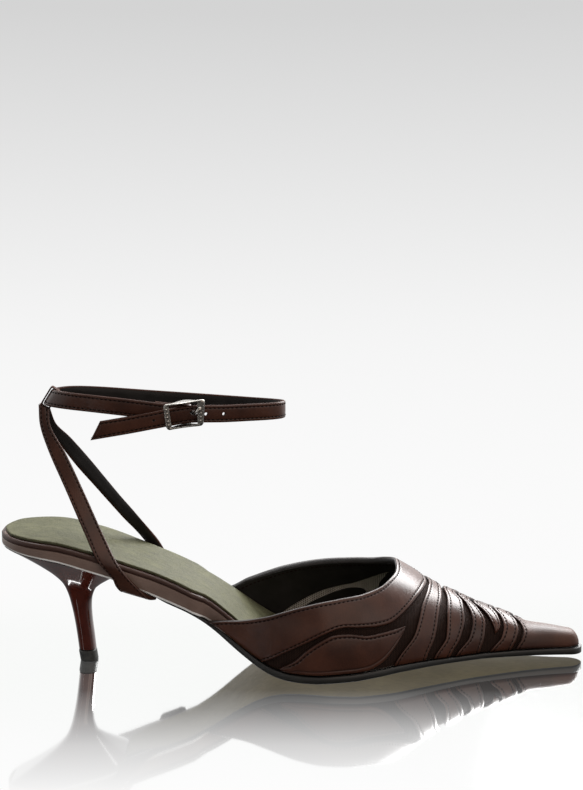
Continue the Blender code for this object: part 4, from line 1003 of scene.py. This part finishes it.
def overlay(name, start, end, first, first_under, last, middle, sew_last=True):
    """A leather piece on the vamp between two edges given row by row, with the sections first and last next
    to those edges and some columns between them."""
    width = upper_width(start, end)
    fit = np.minimum(1.0, width / (first[:, 0].max() + last[:, 0].max() + FOLD_ROOM))[:, None]
    safe = np.maximum(width, 1e-6)[:, None]
    rise = np.clip(width / THIN_WIDTH, 0.0, 1.0)[:, None] ** 0.5
    level = []
    for section, is_under in ((first_under, True), (first, False)):
        near = section[:, 0] * fit / safe
        far = 1.0 - last[::-1, 0] * fit / safe
        gap = np.linspace(0.0, 1.0, middle + 2)[1:-1]
        centre = near[:, -1:] + (far[:, :1] - near[:, -1:]) * gap
        share = np.concatenate([near, centre, far], axis=1)
        if is_under:
            height = np.concatenate([section[:, 1], np.full(middle + len(last), -UNDER)])
        else:
            height = np.concatenate([section[:, 1], np.full(middle, last[-1, 1]), last[::-1, 1]])
        x, around = (grid.T for grid in between(start, end, share.T))
        height = -UNDER + (height + UNDER) * rise
        if not is_under:
            flat = np.clip((height + SWELL_FADE) / SWELL_FADE, 0.0, 1.0)
            height = height + swell(x, around) * flat
        level.append(upper_point(x, around, feather(x, around) - height))
    rows, columns = share.shape
    points, faces, _ = layered(level)
    distance = np.concatenate([first[:, 0], np.full(middle, FAR), last[::-1, 0]])
    values = edge_values(distance, rows, OVERLAY_EDGE, rows * columns)
    lined = np.concatenate([first[:-1, 1] < LINED_BELOW, np.zeros(columns - len(first), bool)])
    marks = np.zeros(len(faces), int)
    cells = (rows - 1) * (columns - 1)
    marks[cells:2 * cells] = np.tile(lined, rows - 1)
    add_piece(name, "brown_leather", [name], points, faces, [BROWN, BLACK], marks, values=values)
    sewn = width > SEWN_WIDTH
    inward = STITCH_IN * fit[:, 0] / safe[:, 0]
    for share in (inward, 1.0 - inward) if sew_last else (inward,):
        x, around = (row[sewn] for row in between(start, end, share))
        sew_upper(x, around, feather(x, around) + STITCH_SUNK)


def band_edges(rows, count):
    """Both edges of a band given by table rows, as x and place around, at count places."""
    weights = np.array([1.0, AROUND_WEIGHT, 1.0, AROUND_WEIGHT])
    path = through(np.stack([rows[c] for c in rows], axis=1) * weights, count) / weights
    return (path[:, 0], path[:, 1]), (path[:, 2], path[:, 3])


def strip_edges(rear, front, rows_around, count):
    around = np.linspace(rows_around[0], 1.0 - rows_around[0], count)
    return (edge_curve(rows_around, rear)(around), around), (edge_curve(rows_around, front)(around), around)


def leaf_rows(inner_side):
    if not inner_side:
        return LEAF_OUTER
    rows = dict(LEAF_INNER)
    for column in ("top_around", "low_around"):
        rows[column] = 1.0 - rows[column]
    return rows


def make_overlays():
    overlay("collar", *band_edges(COLLAR, 340), ROLL, ROLL_UNDER, FOLD, 8)
    for name, inner_side in (("leaf_lateral", False), ("leaf_medial", True)):
        overlay(name, *band_edges(leaf_rows(inner_side), 110), FOLD, FOLD_UNDER, FOLD, 5, sew_last=False)
    for name, (rear, front) in STRIPS.items():
        overlay(name, *strip_edges(rear, front, STRIP_AROUND, 170), FOLD, FOLD_UNDER, FOLD, 3)
    overlay("strip_4", *strip_edges(*POINTED_STRIP, POINTED_AROUND, 130), FOLD, FOLD_UNDER, FOLD, 3)


def make_toe_cap():
    """The cap: a folded rear edge, then plain leather drawn over the point of the toe."""
    around = np.linspace(0.0, 1.0, 171)
    start = edge_curve(STRIP_AROUND, TOE_CAP_EDGE)(around)
    width = upper_width((start, around), (np.full_like(start, UPPER_TIP), around))[:, None]
    near = FOLD[:, 0] / width
    rest = toe_shares(18, 18, 0.30)[1:]
    share = np.concatenate([near, near[:, -1:] + (1.0 - near[:, -1:]) * rest], axis=1)
    height = np.concatenate([FOLD[:, 1], np.zeros(len(rest))])
    level = []
    for inset, solid in ((np.full_like(height, UNDER), CAP_SOLID_TIP), (-height, 0.0)):
        last = UPPER_TIP - inset[-1] - solid
        x = start[:, None] + (last - start)[:, None] * share
        place_around = around[:, None] * np.ones_like(x)
        drawn = feather(np.minimum(x, UPPER_TIP - CAP_DRAW_LAST), place_around)
        drawn = drawn * np.clip((UPPER_TIP - x) / CAP_DRAW_END, 0.0, 1.0)
        level.append(upper_point(x, place_around, inset + drawn))
    points, faces, _ = layered(level)
    distance = np.concatenate([FOLD[:, 0], np.full(len(rest), FAR)])
    values = edge_values(distance, len(around), OVERLAY_EDGE, share.size)
    add_piece("toe_cap", "brown_leather", ["toe_cap"], points, faces, [CAP_CALF], values=values)
    seam = start + (UPPER_TIP - start) * STITCH_IN / width[:, 0]
    sew_upper(seam, around, feather(seam, around) + STITCH_SUNK)


def make_vamp():
    """The mesh shell under the overlays, dark outside; inside, its pale weave is painted light that stands in
    for light shining through the mesh.
    """
    around = np.linspace(0.0, 1.0, 121)
    start = smooth(COLLAR["top_around"], COLLAR["top_x"])(around)
    shares = toe_shares(90, 16, 0.07)
    level = []
    for inset in (VAMP_INSIDE, VAMP_FACE):
        x = start[:, None] + (UPPER_TIP - inset - start)[:, None] * shares
        level.append(upper_point(x, around[:, None] * np.ones_like(x), inset))
    points, faces, marks = layered(level)
    side = np.linalg.norm(np.diff(level[1], axis=0), axis=2)
    up = np.concatenate([np.zeros((1, len(shares))), np.cumsum(side, axis=0)])
    up = up - up[-1] / 2.0
    ahead = level[1][..., 0]
    cloth_u = ((up + ahead) * math.sqrt(0.5)).ravel()
    cloth_v = ((up - ahead) * math.sqrt(0.5)).ravel()
    values = {"cloth_u": np.tile(cloth_u, 2), "cloth_v": np.tile(cloth_v, 2)}
    add_piece("vamp", "dark_mesh", ["vamp"], points, faces, [BACKLIT_MESH_PAINT, BLACK, MESH], marks, values=values)


def make_linings():
    """Black backings inside the vamp behind the collar, the leaves and the rear strips."""
    edges = [band_edges(COLLAR, 240), band_edges(leaf_rows(False), 70), band_edges(leaf_rows(True), 70)]
    edges += [strip_edges(*STRIPS[name], STRIP_AROUND, 110) for name in ("strip_1", "strip_2", "strip_3")]
    edges.append(band_edges(DARK_TAB, 30))
    shapes = []
    for start, end in edges:
        x, around = between(start, end, np.linspace(0.0, 1.0, 14)[:, None])
        level = [upper_point(x, around, VAMP_INSIDE + inset) for inset in (LINING, LINING_GAP)]
        shapes.append(layered(level)[:2])
    add_piece("vamp_lining", "dark_mesh", [], *joined(shapes), [BLACK])
    start, end = edges[0]
    x, around = between(start, end, LINING_STITCH_IN / upper_width(start, end))
    sew_upper(x, around, VAMP_INSIDE + LINING, -1.0)


def outsole_underside(x, y):
    """Bottom of the outsole, flat on the floor under the ball."""
    return np.maximum(seat(x, y) - GAP - outsole_thick(x), 0.0)


def make_outsole():
    xs = stations(SOLE_BACK, LENGTH, 4.0, TOE_ROUND, 2.0)
    share = end_round(LENGTH - xs, TOE_ROUND)
    outer = (half_width(xs) - outsole_outer(xs)) * share
    inner = (half_width(xs) - outsole_inner(xs)) * share
    level = []
    for inset, rise, from_top in SOLE_RIM:
        cut = np.minimum(inset, np.minimum(outer, inner))

        def height(x, y, up=rise, top=from_top):
            return seat(x, y) - GAP - up if top else outsole_underside(x, y) + up

        level.append(level_grid(xs, outer - cut, inner - cut, 25, height))
    points, faces, marks = layered(level)
    add_piece("outsole", "sole_board", ["outsole"], points, faces, [BEIGE, EDGE_INK, EDGE_INK], marks)


def insole_half(xs, inset):
    """Half width of the insole: the whole outline at the heel and waist, inside the vamp in front."""
    inside = np.clip((xs - TUCK_BACK) / TUCK_RUN, 0.0, 1.0)
    tuck = INSOLE_TUCK * inside * inside * (3.0 - 2.0 * inside)
    full = half_width(xs) - tuck
    share = end_round(xs, HEEL_ROUND) * end_round(INSOLE_TOE - xs, INSOLE_TOE_ROUND)
    return full * share - np.minimum(inset, full * share)


def make_insole():
    """The covered platform, whose side has a bead along its top edge and a crease under the bead."""
    level = []
    for inset, below_top, share in PLATFORM_RIM:
        xs = stations(0.0, INSOLE_TOE, HEEL_ROUND, INSOLE_TOE_ROUND, 2.5)
        xs = inset + (INSOLE_TOE - 2.0 * inset) * xs / INSOLE_TOE

        def height(x, y, below=below_top, part=share):
            low = seat(x, y)
            thick = insole_top(x) - (seat_edge(x) - seat(x, y)) - low
            depth = np.minimum(below, 0.5 * thick)
            return low + thick * part - depth

        half = insole_half(xs, inset)
        level.append(level_grid(xs, half, half, 13, height))
    points, faces, marks = layered(level)
    around = len(border(*level[0].shape[:2]))
    wall = marks.index(1)
    crease = wall + around * PLATFORM_CREASE
    marks = np.where(np.arange(len(marks)) < crease, 0, 1)
    # The lowest wall bands carry the painted highlight, a pale line along the platform's lower edge
    marks[wall:wall + around * PLATFORM_HIGHLIGHT_BANDS] = 2
    add_piece("insole", "insole_leather", ["insole"], points, faces, [BAND, BEAD_CALF, EDGE_HIGHLIGHT], marks,
              values=no_wear(len(points)))


def make_sock():
    """The lining sheet on the platform, a little rounded over at its edge."""
    level = []
    for inset, share in SOCK_RIM:
        back, front = SOCK_MARGIN + inset, INSOLE_TOE - SOCK_MARGIN - inset
        xs = stations(back, front, HEEL_ROUND, INSOLE_TOE_ROUND, 2.5)
        half = insole_half(xs, 0.0)
        half = (half - np.minimum(back, half)) * end_round(xs - SOCK_MARGIN - inset, SOCK_ROUND)
        half = half * end_round(front - xs, SOCK_ROUND)

        def height(x, y, part=share):
            return insole_top(x) - (seat_edge(x) - seat(x, y)) + GAP + SOCK_THICKNESS * part

        level.append(level_grid(xs, half, half, 21, height))
    points, faces, _ = layered(level)
    add_piece("sock", "olive_lining", ["sock"], points, faces, [SOCK])


def ring(back, front, half, full, sides):
    """A closed ring through a back and a front point, symmetrical across the shoe."""
    along, across = squared(once_around(sides), 2.0 / full)
    middle = (np.asarray(back) + np.asarray(front)) / 2.0
    reach = (np.asarray(front) - np.asarray(back)) / 2.0
    points = middle - along[:, None] * reach
    points[:, 1] += across * half
    return points


def band_faces(count, sides, closed):
    """Faces between rings of equal count, one after the other."""
    faces = []
    for k in range(count if closed else count - 1):
        low, high = k * sides, (k + 1) % count * sides
        for i in range(sides):
            n = (i + 1) % sides
            faces.append((low + i, low + n, high + n, high + i))
    return faces


def bar_faces(count, sides):
    """Faces of a bar through rings of equal count, its ends first."""
    ends = [tuple(range(sides)), tuple(range((count - 1) * sides, count * sides))]
    return ends + band_faces(count, sides, False)


def loft(rings):
    """Points and faces of a solid through rings of equal count, its ends closed by strips across."""
    count = len(rings[0])
    faces = band_faces(len(rings), count, False)
    for base in (0, (len(rings) - 1) * count):
        for i in range(count // 2):
            quad = [base + i, base + i + 1, base + (count - i - 1) % count, base + (count - i) % count]
            faces.append(tuple(dict.fromkeys(quad)))
    return np.concatenate(rings), faces


def rings_of(rows, count, sides):
    path = through(np.stack([rows[c] for c in RING_COLUMNS.split()], axis=1), count)
    return [ring((bx, 0.0, bz), (fx, 0.0, fz), half, full, sides) for bx, bz, fx, fz, half, full in path]


def make_heel():
    """Stem and cup; the topmost ring lies under the insole and follows its edge."""
    sides = 96
    top = ring((HEEL_SEAT["back_x"], 0.0, 0.0), (HEEL_SEAT["front_x"], 0.0, 0.0),
               HEEL_SEAT["half"], HEEL_SEAT["full"], sides)
    limit = half_width(top[:, 0]) * end_round(top[:, 0], HEEL_ROUND) - HEEL_SEAT["inset"]
    limit = np.maximum(limit, 0.0)
    top[:, 1] = np.clip(top[:, 1], -limit, limit)
    top[:, 2] = seat(top[:, 0], top[:, 1]) - GAP
    stem = rings_of(HEEL, len(HEEL["half"]), sides)
    cup = []
    for share in (0.0, 0.25, 0.5, 0.75):
        drawn = top + (stem[0] - top) * (1.0 - (1.0 - share) ** CUP_DRAW)
        drawn[:, 2] = top[:, 2] + (stem[0][:, 2] - top[:, 2]) * share
        cup.append(drawn)
    rings = through(np.array(cup + stem).reshape(len(cup) + len(stem), -1), 120)
    add_piece("heel", "heel_lacquer", ["heel"], *loft(rings.reshape(-1, sides, 3)), [LACQUER])


def make_heel_tip():
    add_piece("heel_tip", "heel_rubber", ["heel_tip"], *loft(rings_of(HEEL_TIP, 24, 64)), [RUBBER])


def ribbon(edge_a, edge_b, thickness, outside, end_fold=None):
    """Points, faces, finish marks and edge values of a strap between two edges: bound, stitched leather
    outside, a black lining inside and dull edges. outside is 1 or -1 for the side of the strap's own normal
    that shows the leather, and end_fold gives for each row its distance from a folded end."""
    middle = (edge_a + edge_b) / 2.0
    across = edge_b - edge_a
    width = np.linalg.norm(across, axis=1)
    across = unit(across)
    normal = unit(np.cross(np.gradient(middle, axis=0), across)) * outside
    fit = np.minimum(1.0, width / STRAP_FULL_WIDTH)[:, None]
    rows = len(middle)
    fold, height = STRAP_FOLD[:, 0], STRAP_FOLD[:, 1]
    near = fold * fit
    far = width[:, None] - fold[::-1] * fit
    gap = np.linspace(0.0, 1.0, 5)[1:-1]
    between_folds = near[:, -1:] + (far[:, :1] - near[:, -1:]) * gap
    outer = np.concatenate([near, between_folds, far], axis=1)
    outer_height = np.concatenate([height, np.full(len(gap), STRAP_CROWN), height[::-1]])
    back = np.concatenate([STRAP_BACK[:, 0] * fit, STRAP_BACK_MIDDLE * width[:, None]], axis=1)
    inner = np.concatenate([width[:, None] - back, back[:, ::-1]], axis=1)
    inner_height = np.concatenate([STRAP_BACK[:, 1], [-1.0, -1.0], STRAP_BACK[::-1, 1]])
    offset = np.concatenate([outer, inner], axis=1)
    level = np.tile(np.concatenate([outer_height, inner_height]), (rows, 1))
    if end_fold is not None:
        cap = np.interp(end_fold, fold, height, right=FAR)[:, None]
        level = np.where(level > 0.0, np.minimum(level, cap), np.maximum(level, -cap))
    points = edge_a[:, None] + across[:, None] * offset[..., None]
    points = points + normal[:, None] * (level * thickness / 2.0)[..., None]
    sides, last = offset.shape[1], outer.shape[1]
    around = np.zeros(sides, int)
    around[last + 1:sides - 2] = 1
    around[[0, 1, last - 3, last - 2, last - 1, last, sides - 2, sides - 1]] = EDGE_MARK
    marks = [EDGE_MARK, EDGE_MARK] + list(np.tile(around, rows - 1))
    distance = np.concatenate([fold, np.full(len(gap), FAR), fold[::-1], np.full(len(inner_height), FAR)])
    for line in (STRAP_STITCH_IN * fit, width[:, None] - STRAP_STITCH_IN * fit):
        sew(edge_a + across * line + normal * thickness * STRAP_STITCH_RISE, normal)
    return points.reshape(-1, 3), bar_faces(rows, sides), marks, edge_values(distance, rows, STRAP_EDGE)


def cut_hole(strap, centre, direction, up, reach, depth):
    """Cuts an oval hole into a strap: reach is half its width and height, and the cut runs to a depth on both
    sides of its centre."""
    direction = unit(np.asarray(direction, float))
    side = unit(np.cross(np.asarray(up, float), direction))
    angle = once_around(HOLE_SIDES)[:, None]
    oval = np.cos(angle) * side * reach[0] + np.sin(angle) * np.cross(direction, side) * reach[1]
    points = np.concatenate([centre + oval - direction * depth, centre + oval + direction * depth])
    peg = add_piece("peg", None, [], points, bar_faces(2, HOLE_SIDES), [BLACK])
    change = strap.modifiers.new("hole", "BOOLEAN")
    change.operation = "DIFFERENCE"
    change.solver = "EXACT"
    change.object = peg
    bpy.context.view_layer.update()
    graph = bpy.context.evaluated_depsgraph_get()
    result = bpy.data.meshes.new_from_object(strap.evaluated_get(graph), depsgraph=graph)
    strap.modifiers.clear()
    strap.data = result
    bpy.data.objects.remove(peg)


def sling_edges(rows, count):
    path = through(np.stack([rows[c] for c in rows], axis=1), count)
    return path[:, :3], path[:, 3:]


def loop():
    """The loop around the ankle strap behind the heel, leaning as the strap does: points, faces, finish marks
    and edge values."""
    up = np.array([STRAP_LEAN, 0.0, 1.0]) / math.hypot(STRAP_LEAN, 1.0)
    ahead = np.array([up[2], 0.0, -up[0]])
    middle = np.array([ANKLE["x"].min(), 0.0, ANKLE["z"].max()]) + ahead * LOOP_ROOM / 2.0
    reach = (STRAP_THICKNESS + LOOP_ROOM) / 2.0 + GAP
    rise = STRAP_WIDTH / 2.0 + LOOP_CLEARANCE
    section = once_around(14)
    deep, _ = squared(section, LOOP_DEEP_ROUND)
    _, wide = squared(section, LOOP_WIDE_ROUND)
    wall = LOOP_WALL * (1.0 + deep) / 2.0
    rings = []
    for a, b in zip(*squared(once_around(72), LOOP_CORNER)):
        points = middle + ahead * (a * (reach + wall))[:, None] + up * (b * (rise + wall))[:, None]
        points[:, 1] += wide * LOOP_HALF_WIDTH
        rings.append(points)
    faces = band_faces(len(rings), len(section), True)
    return np.concatenate(rings), faces, [EDGE_MARK] * len(faces), no_wear(len(rings) * len(section))


def make_sling():
    """Both straps and the loop that holds the ankle strap behind the heel."""
    parts = [ribbon(*sling_edges(SLING_LATERAL, 120), SLING_THICKNESS, -1.0),
             ribbon(*sling_edges(SLING_MEDIAL, 120), SLING_THICKNESS, 1.0), loop()]
    marks = [mark for part in parts for mark in part[2]]
    values = {name: np.concatenate([part[3][name] for part in parts]) for name in ("wear", "seam")}
    points, faces = joined([part[:2] for part in parts])
    add_piece("sling", "brown_leather", ["sling"], points, faces, STRAP_FINISHES, marks, values=values)


def make_ankle_strap():
    """The strap, leaning forward behind the heel, its tail cut on the slant, with its holes."""
    middle = through(np.stack([ANKLE[c] for c in "xyz"], axis=1), 300)
    along = lengths_along(middle)
    places = np.union1d(along[along < along[-1] - TAIL_FOLD], along[-1] - STRAP_FOLD[:, 0])
    middle = points_at(places, along, middle)
    left = places[-1] - places
    tangent = unit(np.gradient(middle, places, axis=0))
    up = np.zeros_like(middle)
    up[:, 0] = STRAP_LEAN * np.clip((STRAP_LEAN_FRONT - middle[:, 0]) / STRAP_LEAN_RUN, 0.0, 1.0)
    up[:, 2] = 1.0
    up = unit(up - np.sum(up * tangent, axis=1)[:, None] * tangent)
    skew = tangent * (TAIL_SKEW * np.clip(1.0 - left / TAIL_RUN, 0.0, 1.0))[:, None]
    lower = middle - up * STRAP_WIDTH / 2.0 + skew
    upper = middle + up * STRAP_WIDTH / 2.0 - skew
    points, faces, marks, values = ribbon(lower, upper, STRAP_THICKNESS, -1.0, left)
    strap = add_piece("ankle_strap", "brown_leather", ["ankle_strap"], points, faces, STRAP_FINISHES, marks,
                      values=values)
    for hole in STRAP_HOLES:
        k = np.argmin(np.linalg.norm(middle - hole, axis=1))
        cut_hole(strap, hole, np.cross(tangent[k], up[k]), up[k], (HOLE_RADIUS, HOLE_RADIUS), HOLE_DEPTH)
    cut_hole(strap, PIN_MARK, INWARD, UPWARD, (PIN_MARK_RADIUS, PIN_MARK_RADIUS), PIN_MARK_DEPTH)
    cut_hole(strap, PRONG_HOLE, INWARD, UPWARD, PRONG_HOLE_REACH, PRONG_HOLE_DEPTH)
    cut_hole(strap, PIVOT, INWARD, UPWARD, PRONG_SLOT_REACH, PRONG_SLOT_DEPTH)


def tube(path, radii, sides, flatten=1.0):
    """Points and faces of a round or flattened bar along a path, closed at both ends."""
    path = np.asarray(path, float)
    tangent = unit(np.gradient(path, axis=0))
    radii = np.broadcast_to(radii, len(path))[:, None, None]
    side = unit(np.cross(tangent, np.array([0.3, 0.2, 1.0])))
    other = np.cross(tangent, side)
    angle = once_around(sides)[None, :, None]
    oval = np.cos(angle) * side[:, None] * flatten + np.sin(angle) * other[:, None]
    return (path[:, None] + radii * oval).reshape(-1, 3), bar_faces(len(path), sides)


def ball(centre, radius, sides=12, rings=7):
    """Points and faces of a small bead."""
    angle = once_around(sides)
    points = []
    for level in np.linspace(0.02, math.pi - 0.02, rings):
        circle = np.stack([np.cos(angle) * math.sin(level), np.full(sides, math.cos(level)),
                           np.sin(angle) * math.sin(level)], axis=1)
        points.append(centre + radius * circle)
    return np.concatenate(points), bar_faces(rings, sides)


def buckle_bow(along, up):
    """How far a rail deepens backwards to the pivot bar: most at its middle, fuller low at the rear."""
    reach, shape = BUCKLE_BOW_REACH, BUCKLE_BOW_SHAPE
    if up < 0.0 and along < 0.0:
        reach, shape = BUCKLE_LOW_REACH, BUCKLE_LOW_SHAPE
    return BUCKLE_BOW * max(0.0, 1.0 - (along / reach) ** 2) ** shape


def buckle_point(along, up, depth):
    """A point of the buckle: along and up in its own plane, which leans with the strap's tail; the front
    bar is splayed a little."""
    cos, sin = math.cos(BUCKLE_TILT), math.sin(BUCKLE_TILT)
    along = along + BUCKLE_SPLAY * up * max(along, 0.0) / (BUCKLE_LENGTH / 2.0)
    return BUCKLE_CENTRE + np.array([along * cos - up * sin, depth, along * sin + up * cos])


def buckle_frame():
    """Points and faces of the frame: broad end bars and thin rails that deepen backwards to the pivot
    bar."""
    corner = BUCKLE_CORNER
    outline = []
    half_length, half_height = BUCKLE_LENGTH / 2.0, BUCKLE_HEIGHT / 2.0
    for quarter in range(4):
        sx = 1 if quarter in (0, 3) else -1
        sz = 1 if quarter in (0, 1) else -1
        for step in np.linspace(0.0, math.pi / 2, 12):
            angle = quarter * math.pi / 2 + step
            outline.append((sx * (half_length - corner) + corner * math.cos(angle),
                            sz * (half_height - corner) + corner * math.sin(angle)))
        reach = half_length - corner - 0.4 if quarter in (0, 2) else half_height - corner - 0.3
        for step in np.linspace(1.0, -1.0, 33 if quarter in (0, 2) else 17):
            if quarter in (0, 2):
                outline.append((sz * step * reach, sz * half_height))
            else:
                outline.append((sx * half_length, -sx * step * reach))
    rings = []
    out, deep = squared(once_around(16), BUCKLE_SECTION)
    for along, up in outline:
        bar = BUCKLE_FRONT_BAR if along > 0 else BUCKLE_REAR_BAR
        inner_along = float(np.clip(along, bar - half_length, half_length - bar))
        inner_up = float(np.clip(up, BUCKLE_RAIL - half_height, half_height - BUCKLE_RAIL))
        bow = buckle_bow(along, up)
        middle = ((along + inner_along) / 2.0, (up + inner_up) / 2.0)
        reach = ((along - inner_along) / 2.0, (up - inner_up) / 2.0)
        rings.append(np.array([buckle_point(middle[0] + reach[0] * a, middle[1] + reach[1] * a,
                                            bow / 2.0 + (BUCKLE_BAR_DEPTH + bow) / 2.0 * b)
                               for a, b in zip(out, deep)]))
    return np.concatenate(rings), band_faces(len(rings), len(out), True)


def make_buckle():
    """Frame, pivot bar and the rows of beads on the end bars."""
    reach = (BUCKLE_HEIGHT - BUCKLE_RAIL) / 2.0
    pivot = [PIVOT + np.array([0.0, 0.0, up]) for up in np.linspace(-reach, reach, 9)]
    plain = [buckle_frame(), tube(pivot, PIVOT_RADIUS, 16)]
    rear = -(BUCKLE_LENGTH - BUCKLE_REAR_BAR) / 2.0
    front = (BUCKLE_LENGTH - BUCKLE_FRONT_BAR) / 2.0
    face = -BUCKLE_BAR_DEPTH / 2.0
    beaded = []
    for along, ridges, beads in ((rear, REAR_RIDGES, REAR_BEADS), (front, FRONT_RIDGES, FRONT_BEADS)):
        for up in beads:
            beaded.append(ball(buckle_point(along, up, face + BEAD_SUNK), BEAD_RADIUS))
        for side in (along - ridges, along + ridges):
            line = [buckle_point(side, up, face + RIDGE_SUNK)
                    for up in np.linspace(-RIDGE_REACH, RIDGE_REACH, 15)]
            beaded.append(tube(line, RIDGE_RADIUS, 10))
    points, faces = joined(plain + beaded)
    plain_faces = sum(len(shape[1]) for shape in plain)
    marks = [0] * plain_faces + [1] * (len(faces) - plain_faces)
    add_piece("buckle", "aged_nickel", ["buckle"], points, faces, [METAL, BEAD_METAL], marks)


def make_prong():
    """The buckle's tongue, hooked around the pivot bar, through the strap and over the front bar."""
    hook = PIVOT_RADIUS + GAP + PRONG_RADIUS
    path = [PIVOT + hook * np.array([math.cos(angle), math.sin(angle), 0.0]) for angle in PRONG_HOOK]
    path = through(np.array(path + [PRONG_HOLE, PRONG_BEND, PRONG_REST, PRONG_TIP]), 60)
    taper = np.minimum(1.0, PRONG_POINT + np.arange(len(path))[::-1] * PRONG_TAPER) * PRONG_RADIUS
    add_piece("prong", "aged_nickel", ["prong"], *tube(path, taper, 18, PRONG_FLAT), [BEAD_METAL])


def make_stitches():
    """All stitches: short dashes along the kept rows, their ends sunk into the leather."""
    sides = 6
    angle = once_around(sides)[None, :, None]
    shares = np.array([-1.0, -0.65, 0.0, 0.65, 1.0])
    girth = np.array([0.35, 0.85, 1.0, 0.85, 0.35]) * STITCH_RADIUS
    lift = np.array([-0.10, 0.03, 0.08, 0.03, -0.10])
    faces = bar_faces(len(shares), sides)
    shapes = []
    for line, normals in stitch_rows:
        along = lengths_along(line)
        for centre in np.arange(STITCH_PITCH / 2.0, along[-1], STITCH_PITCH):
            core = points_at(centre + shares * STITCH_LENGTH / 2.0, along, line)
            normal = unit(points_at(centre, along, normals))
            side = unit(np.cross(core[-1] - core[0], normal))
            core = core + lift[:, None] * normal
            oval = np.cos(angle) * side + np.sin(angle) * normal * STITCH_FLAT
            rings = core[:, None] + girth[:, None, None] * oval
            shapes.append((rings.reshape(-1, 3), faces))
    add_piece("stitches", "brown_leather", [], *joined(shapes), [THREAD], sharp=80.0)


def add_lamp(name, at, towards, size, power, tint, on_matt, on_gloss):
    """A rectangular lamp aimed at a point, which may light only matt or only glossy surfaces."""
    lamp = bpy.data.lights.new(name, "AREA")
    lamp.shape = "RECTANGLE"
    lamp.size, lamp.size_y = size
    lamp.energy = power
    lamp.color = tint
    made = bpy.data.objects.new(name, lamp)
    made.location = at
    aim = np.asarray(towards, float) - np.asarray(at, float)
    tilt = math.atan2(math.hypot(aim[0], aim[1]), -aim[2])
    made.rotation_euler = (tilt, 0.0, math.atan2(aim[1], aim[0]) - math.pi / 2)
    made.visible_diffuse = on_matt
    made.visible_glossy = on_gloss
    bpy.context.collection.objects.link(made)


def make_stage():
    """A round pale sweep: a floor that mirrors a little near the shoe and turns up into a wall, white below
    and grey above. It is seen by the camera alone, so that the light comes from the lamps and the world."""
    profile = [(r, 0.0) for r in np.linspace(0.0, SWEEP_FLAT, 26)]
    profile += [(SWEEP_FLAT + SWEEP_TURN * math.sin(a), SWEEP_TURN - SWEEP_TURN * math.cos(a))
                for a in np.linspace(0.06, math.pi / 2, 24)]
    profile += [(SWEEP_FLAT + SWEEP_TURN, z) for z in np.linspace(*SWEEP_WALL, 12)]
    turns = np.linspace(0.0, 2.0 * math.pi, 97)
    mesh = bpy.data.meshes.new("sweep")
    mesh.from_pydata([(r * math.cos(a), r * math.sin(a), z) for r, z in profile for a in turns], [],
                     grid_faces(len(profile), len(turns)))
    mesh.shade_smooth()
    made = Finish("sweep_white")
    parts = made.node("SeparateXYZ", {"Vector": made.place})
    raised = made.math("MULTIPLY", parts.outputs["Y"], SWEEP_GLOW_RISE)
    height = made.math("ADD", parts.outputs["Z"], raised)
    light = made.node("Emission", {"Color": made.stops(height, SWEEP_GLOW)})
    mirror = made.node("BsdfGlossy", {"Color": colour(0.97, 0.98, 0.97), "Roughness": SWEEP_MIRROR_ROUGHNESS})
    near = made.stops(parts.outputs["Y"], SWEEP_MIRROR)
    beside = made.stops(made.math("ABSOLUTE", parts.outputs["X"]), SWEEP_MIRROR_ENDS)
    gloss = made.stops(made.node("LayerWeight", {"Blend": 0.5}).outputs["Facing"], SWEEP_MIRROR_GLOSS)
    share = made.math("MULTIPLY", made.math("MULTIPLY", near, beside), gloss)
    mixed = made.node("MixShader", {"Fac": share, 1: light.outputs[0], 2: mirror.outputs[0]})
    made.tree.links.new(mixed.outputs[0], made.tree.nodes["Material Output"].inputs["Surface"])
    mesh.materials.append(made.material)
    sweep = bpy.data.objects.new("sweep", mesh)
    bpy.context.collection.objects.link(sweep)
    sweep.visible_diffuse = False
    sweep.visible_glossy = False
    sweep.visible_shadow = False


def make_world():
    """A tent of light: white behind, bright above and at both ends, dim in front and below."""
    world = bpy.data.worlds.new("studio")
    world.use_nodes = True
    made = Nodes(world.node_tree)
    where = made.node("SeparateXYZ", {"Vector": made.node("TexCoord", {}).outputs["Generated"]}).outputs
    ends = made.math("ABSOLUTE", where["X"])
    level = None
    for part, (low, high, most) in ((where["Y"], WORLD_BACK), (where["Z"], WORLD_TOP), (ends, WORLD_ENDS)):
        side = made.ramp(part, low, high, WORLD_FRONT, most)
        level = made.math("MAXIMUM", level, side) if level else side
    below = made.ramp(where["Z"], *WORLD_BELOW, 1.0)
    background = made.tree.nodes["Background"]
    background.inputs["Color"].default_value = colour(*WHITE)
    made.tree.links.new(made.math("MULTIPLY", level, below), background.inputs["Strength"])
    bpy.context.scene.world = world


def make_light_and_camera():
    make_world()
    for name, settings in LAMPS.items():
        add_lamp(name, *settings)
    camera = bpy.data.objects.new("camera", bpy.data.cameras.new("camera"))
    camera.data.lens = CAMERA_LENS
    camera.data.sensor_width = CAMERA_SENSOR
    camera.location = CAMERA_PLACE
    camera.rotation_euler = (math.radians(90.0 - CAMERA_DOWN), 0.0, 0.0)
    bpy.context.collection.objects.link(camera)
    bpy.context.scene.camera = camera
    bpy.context.scene.view_settings.view_transform = "Standard"


def build_scene():
    make_vamp()
    make_overlays()
    make_toe_cap()
    make_linings()
    make_outsole()
    make_insole()
    make_sock()
    make_heel()
    make_heel_tip()
    make_sling()
    make_ankle_strap()
    make_buckle()
    make_prong()
    make_stitches()
    make_stage()
    make_light_and_camera()


build_scene()
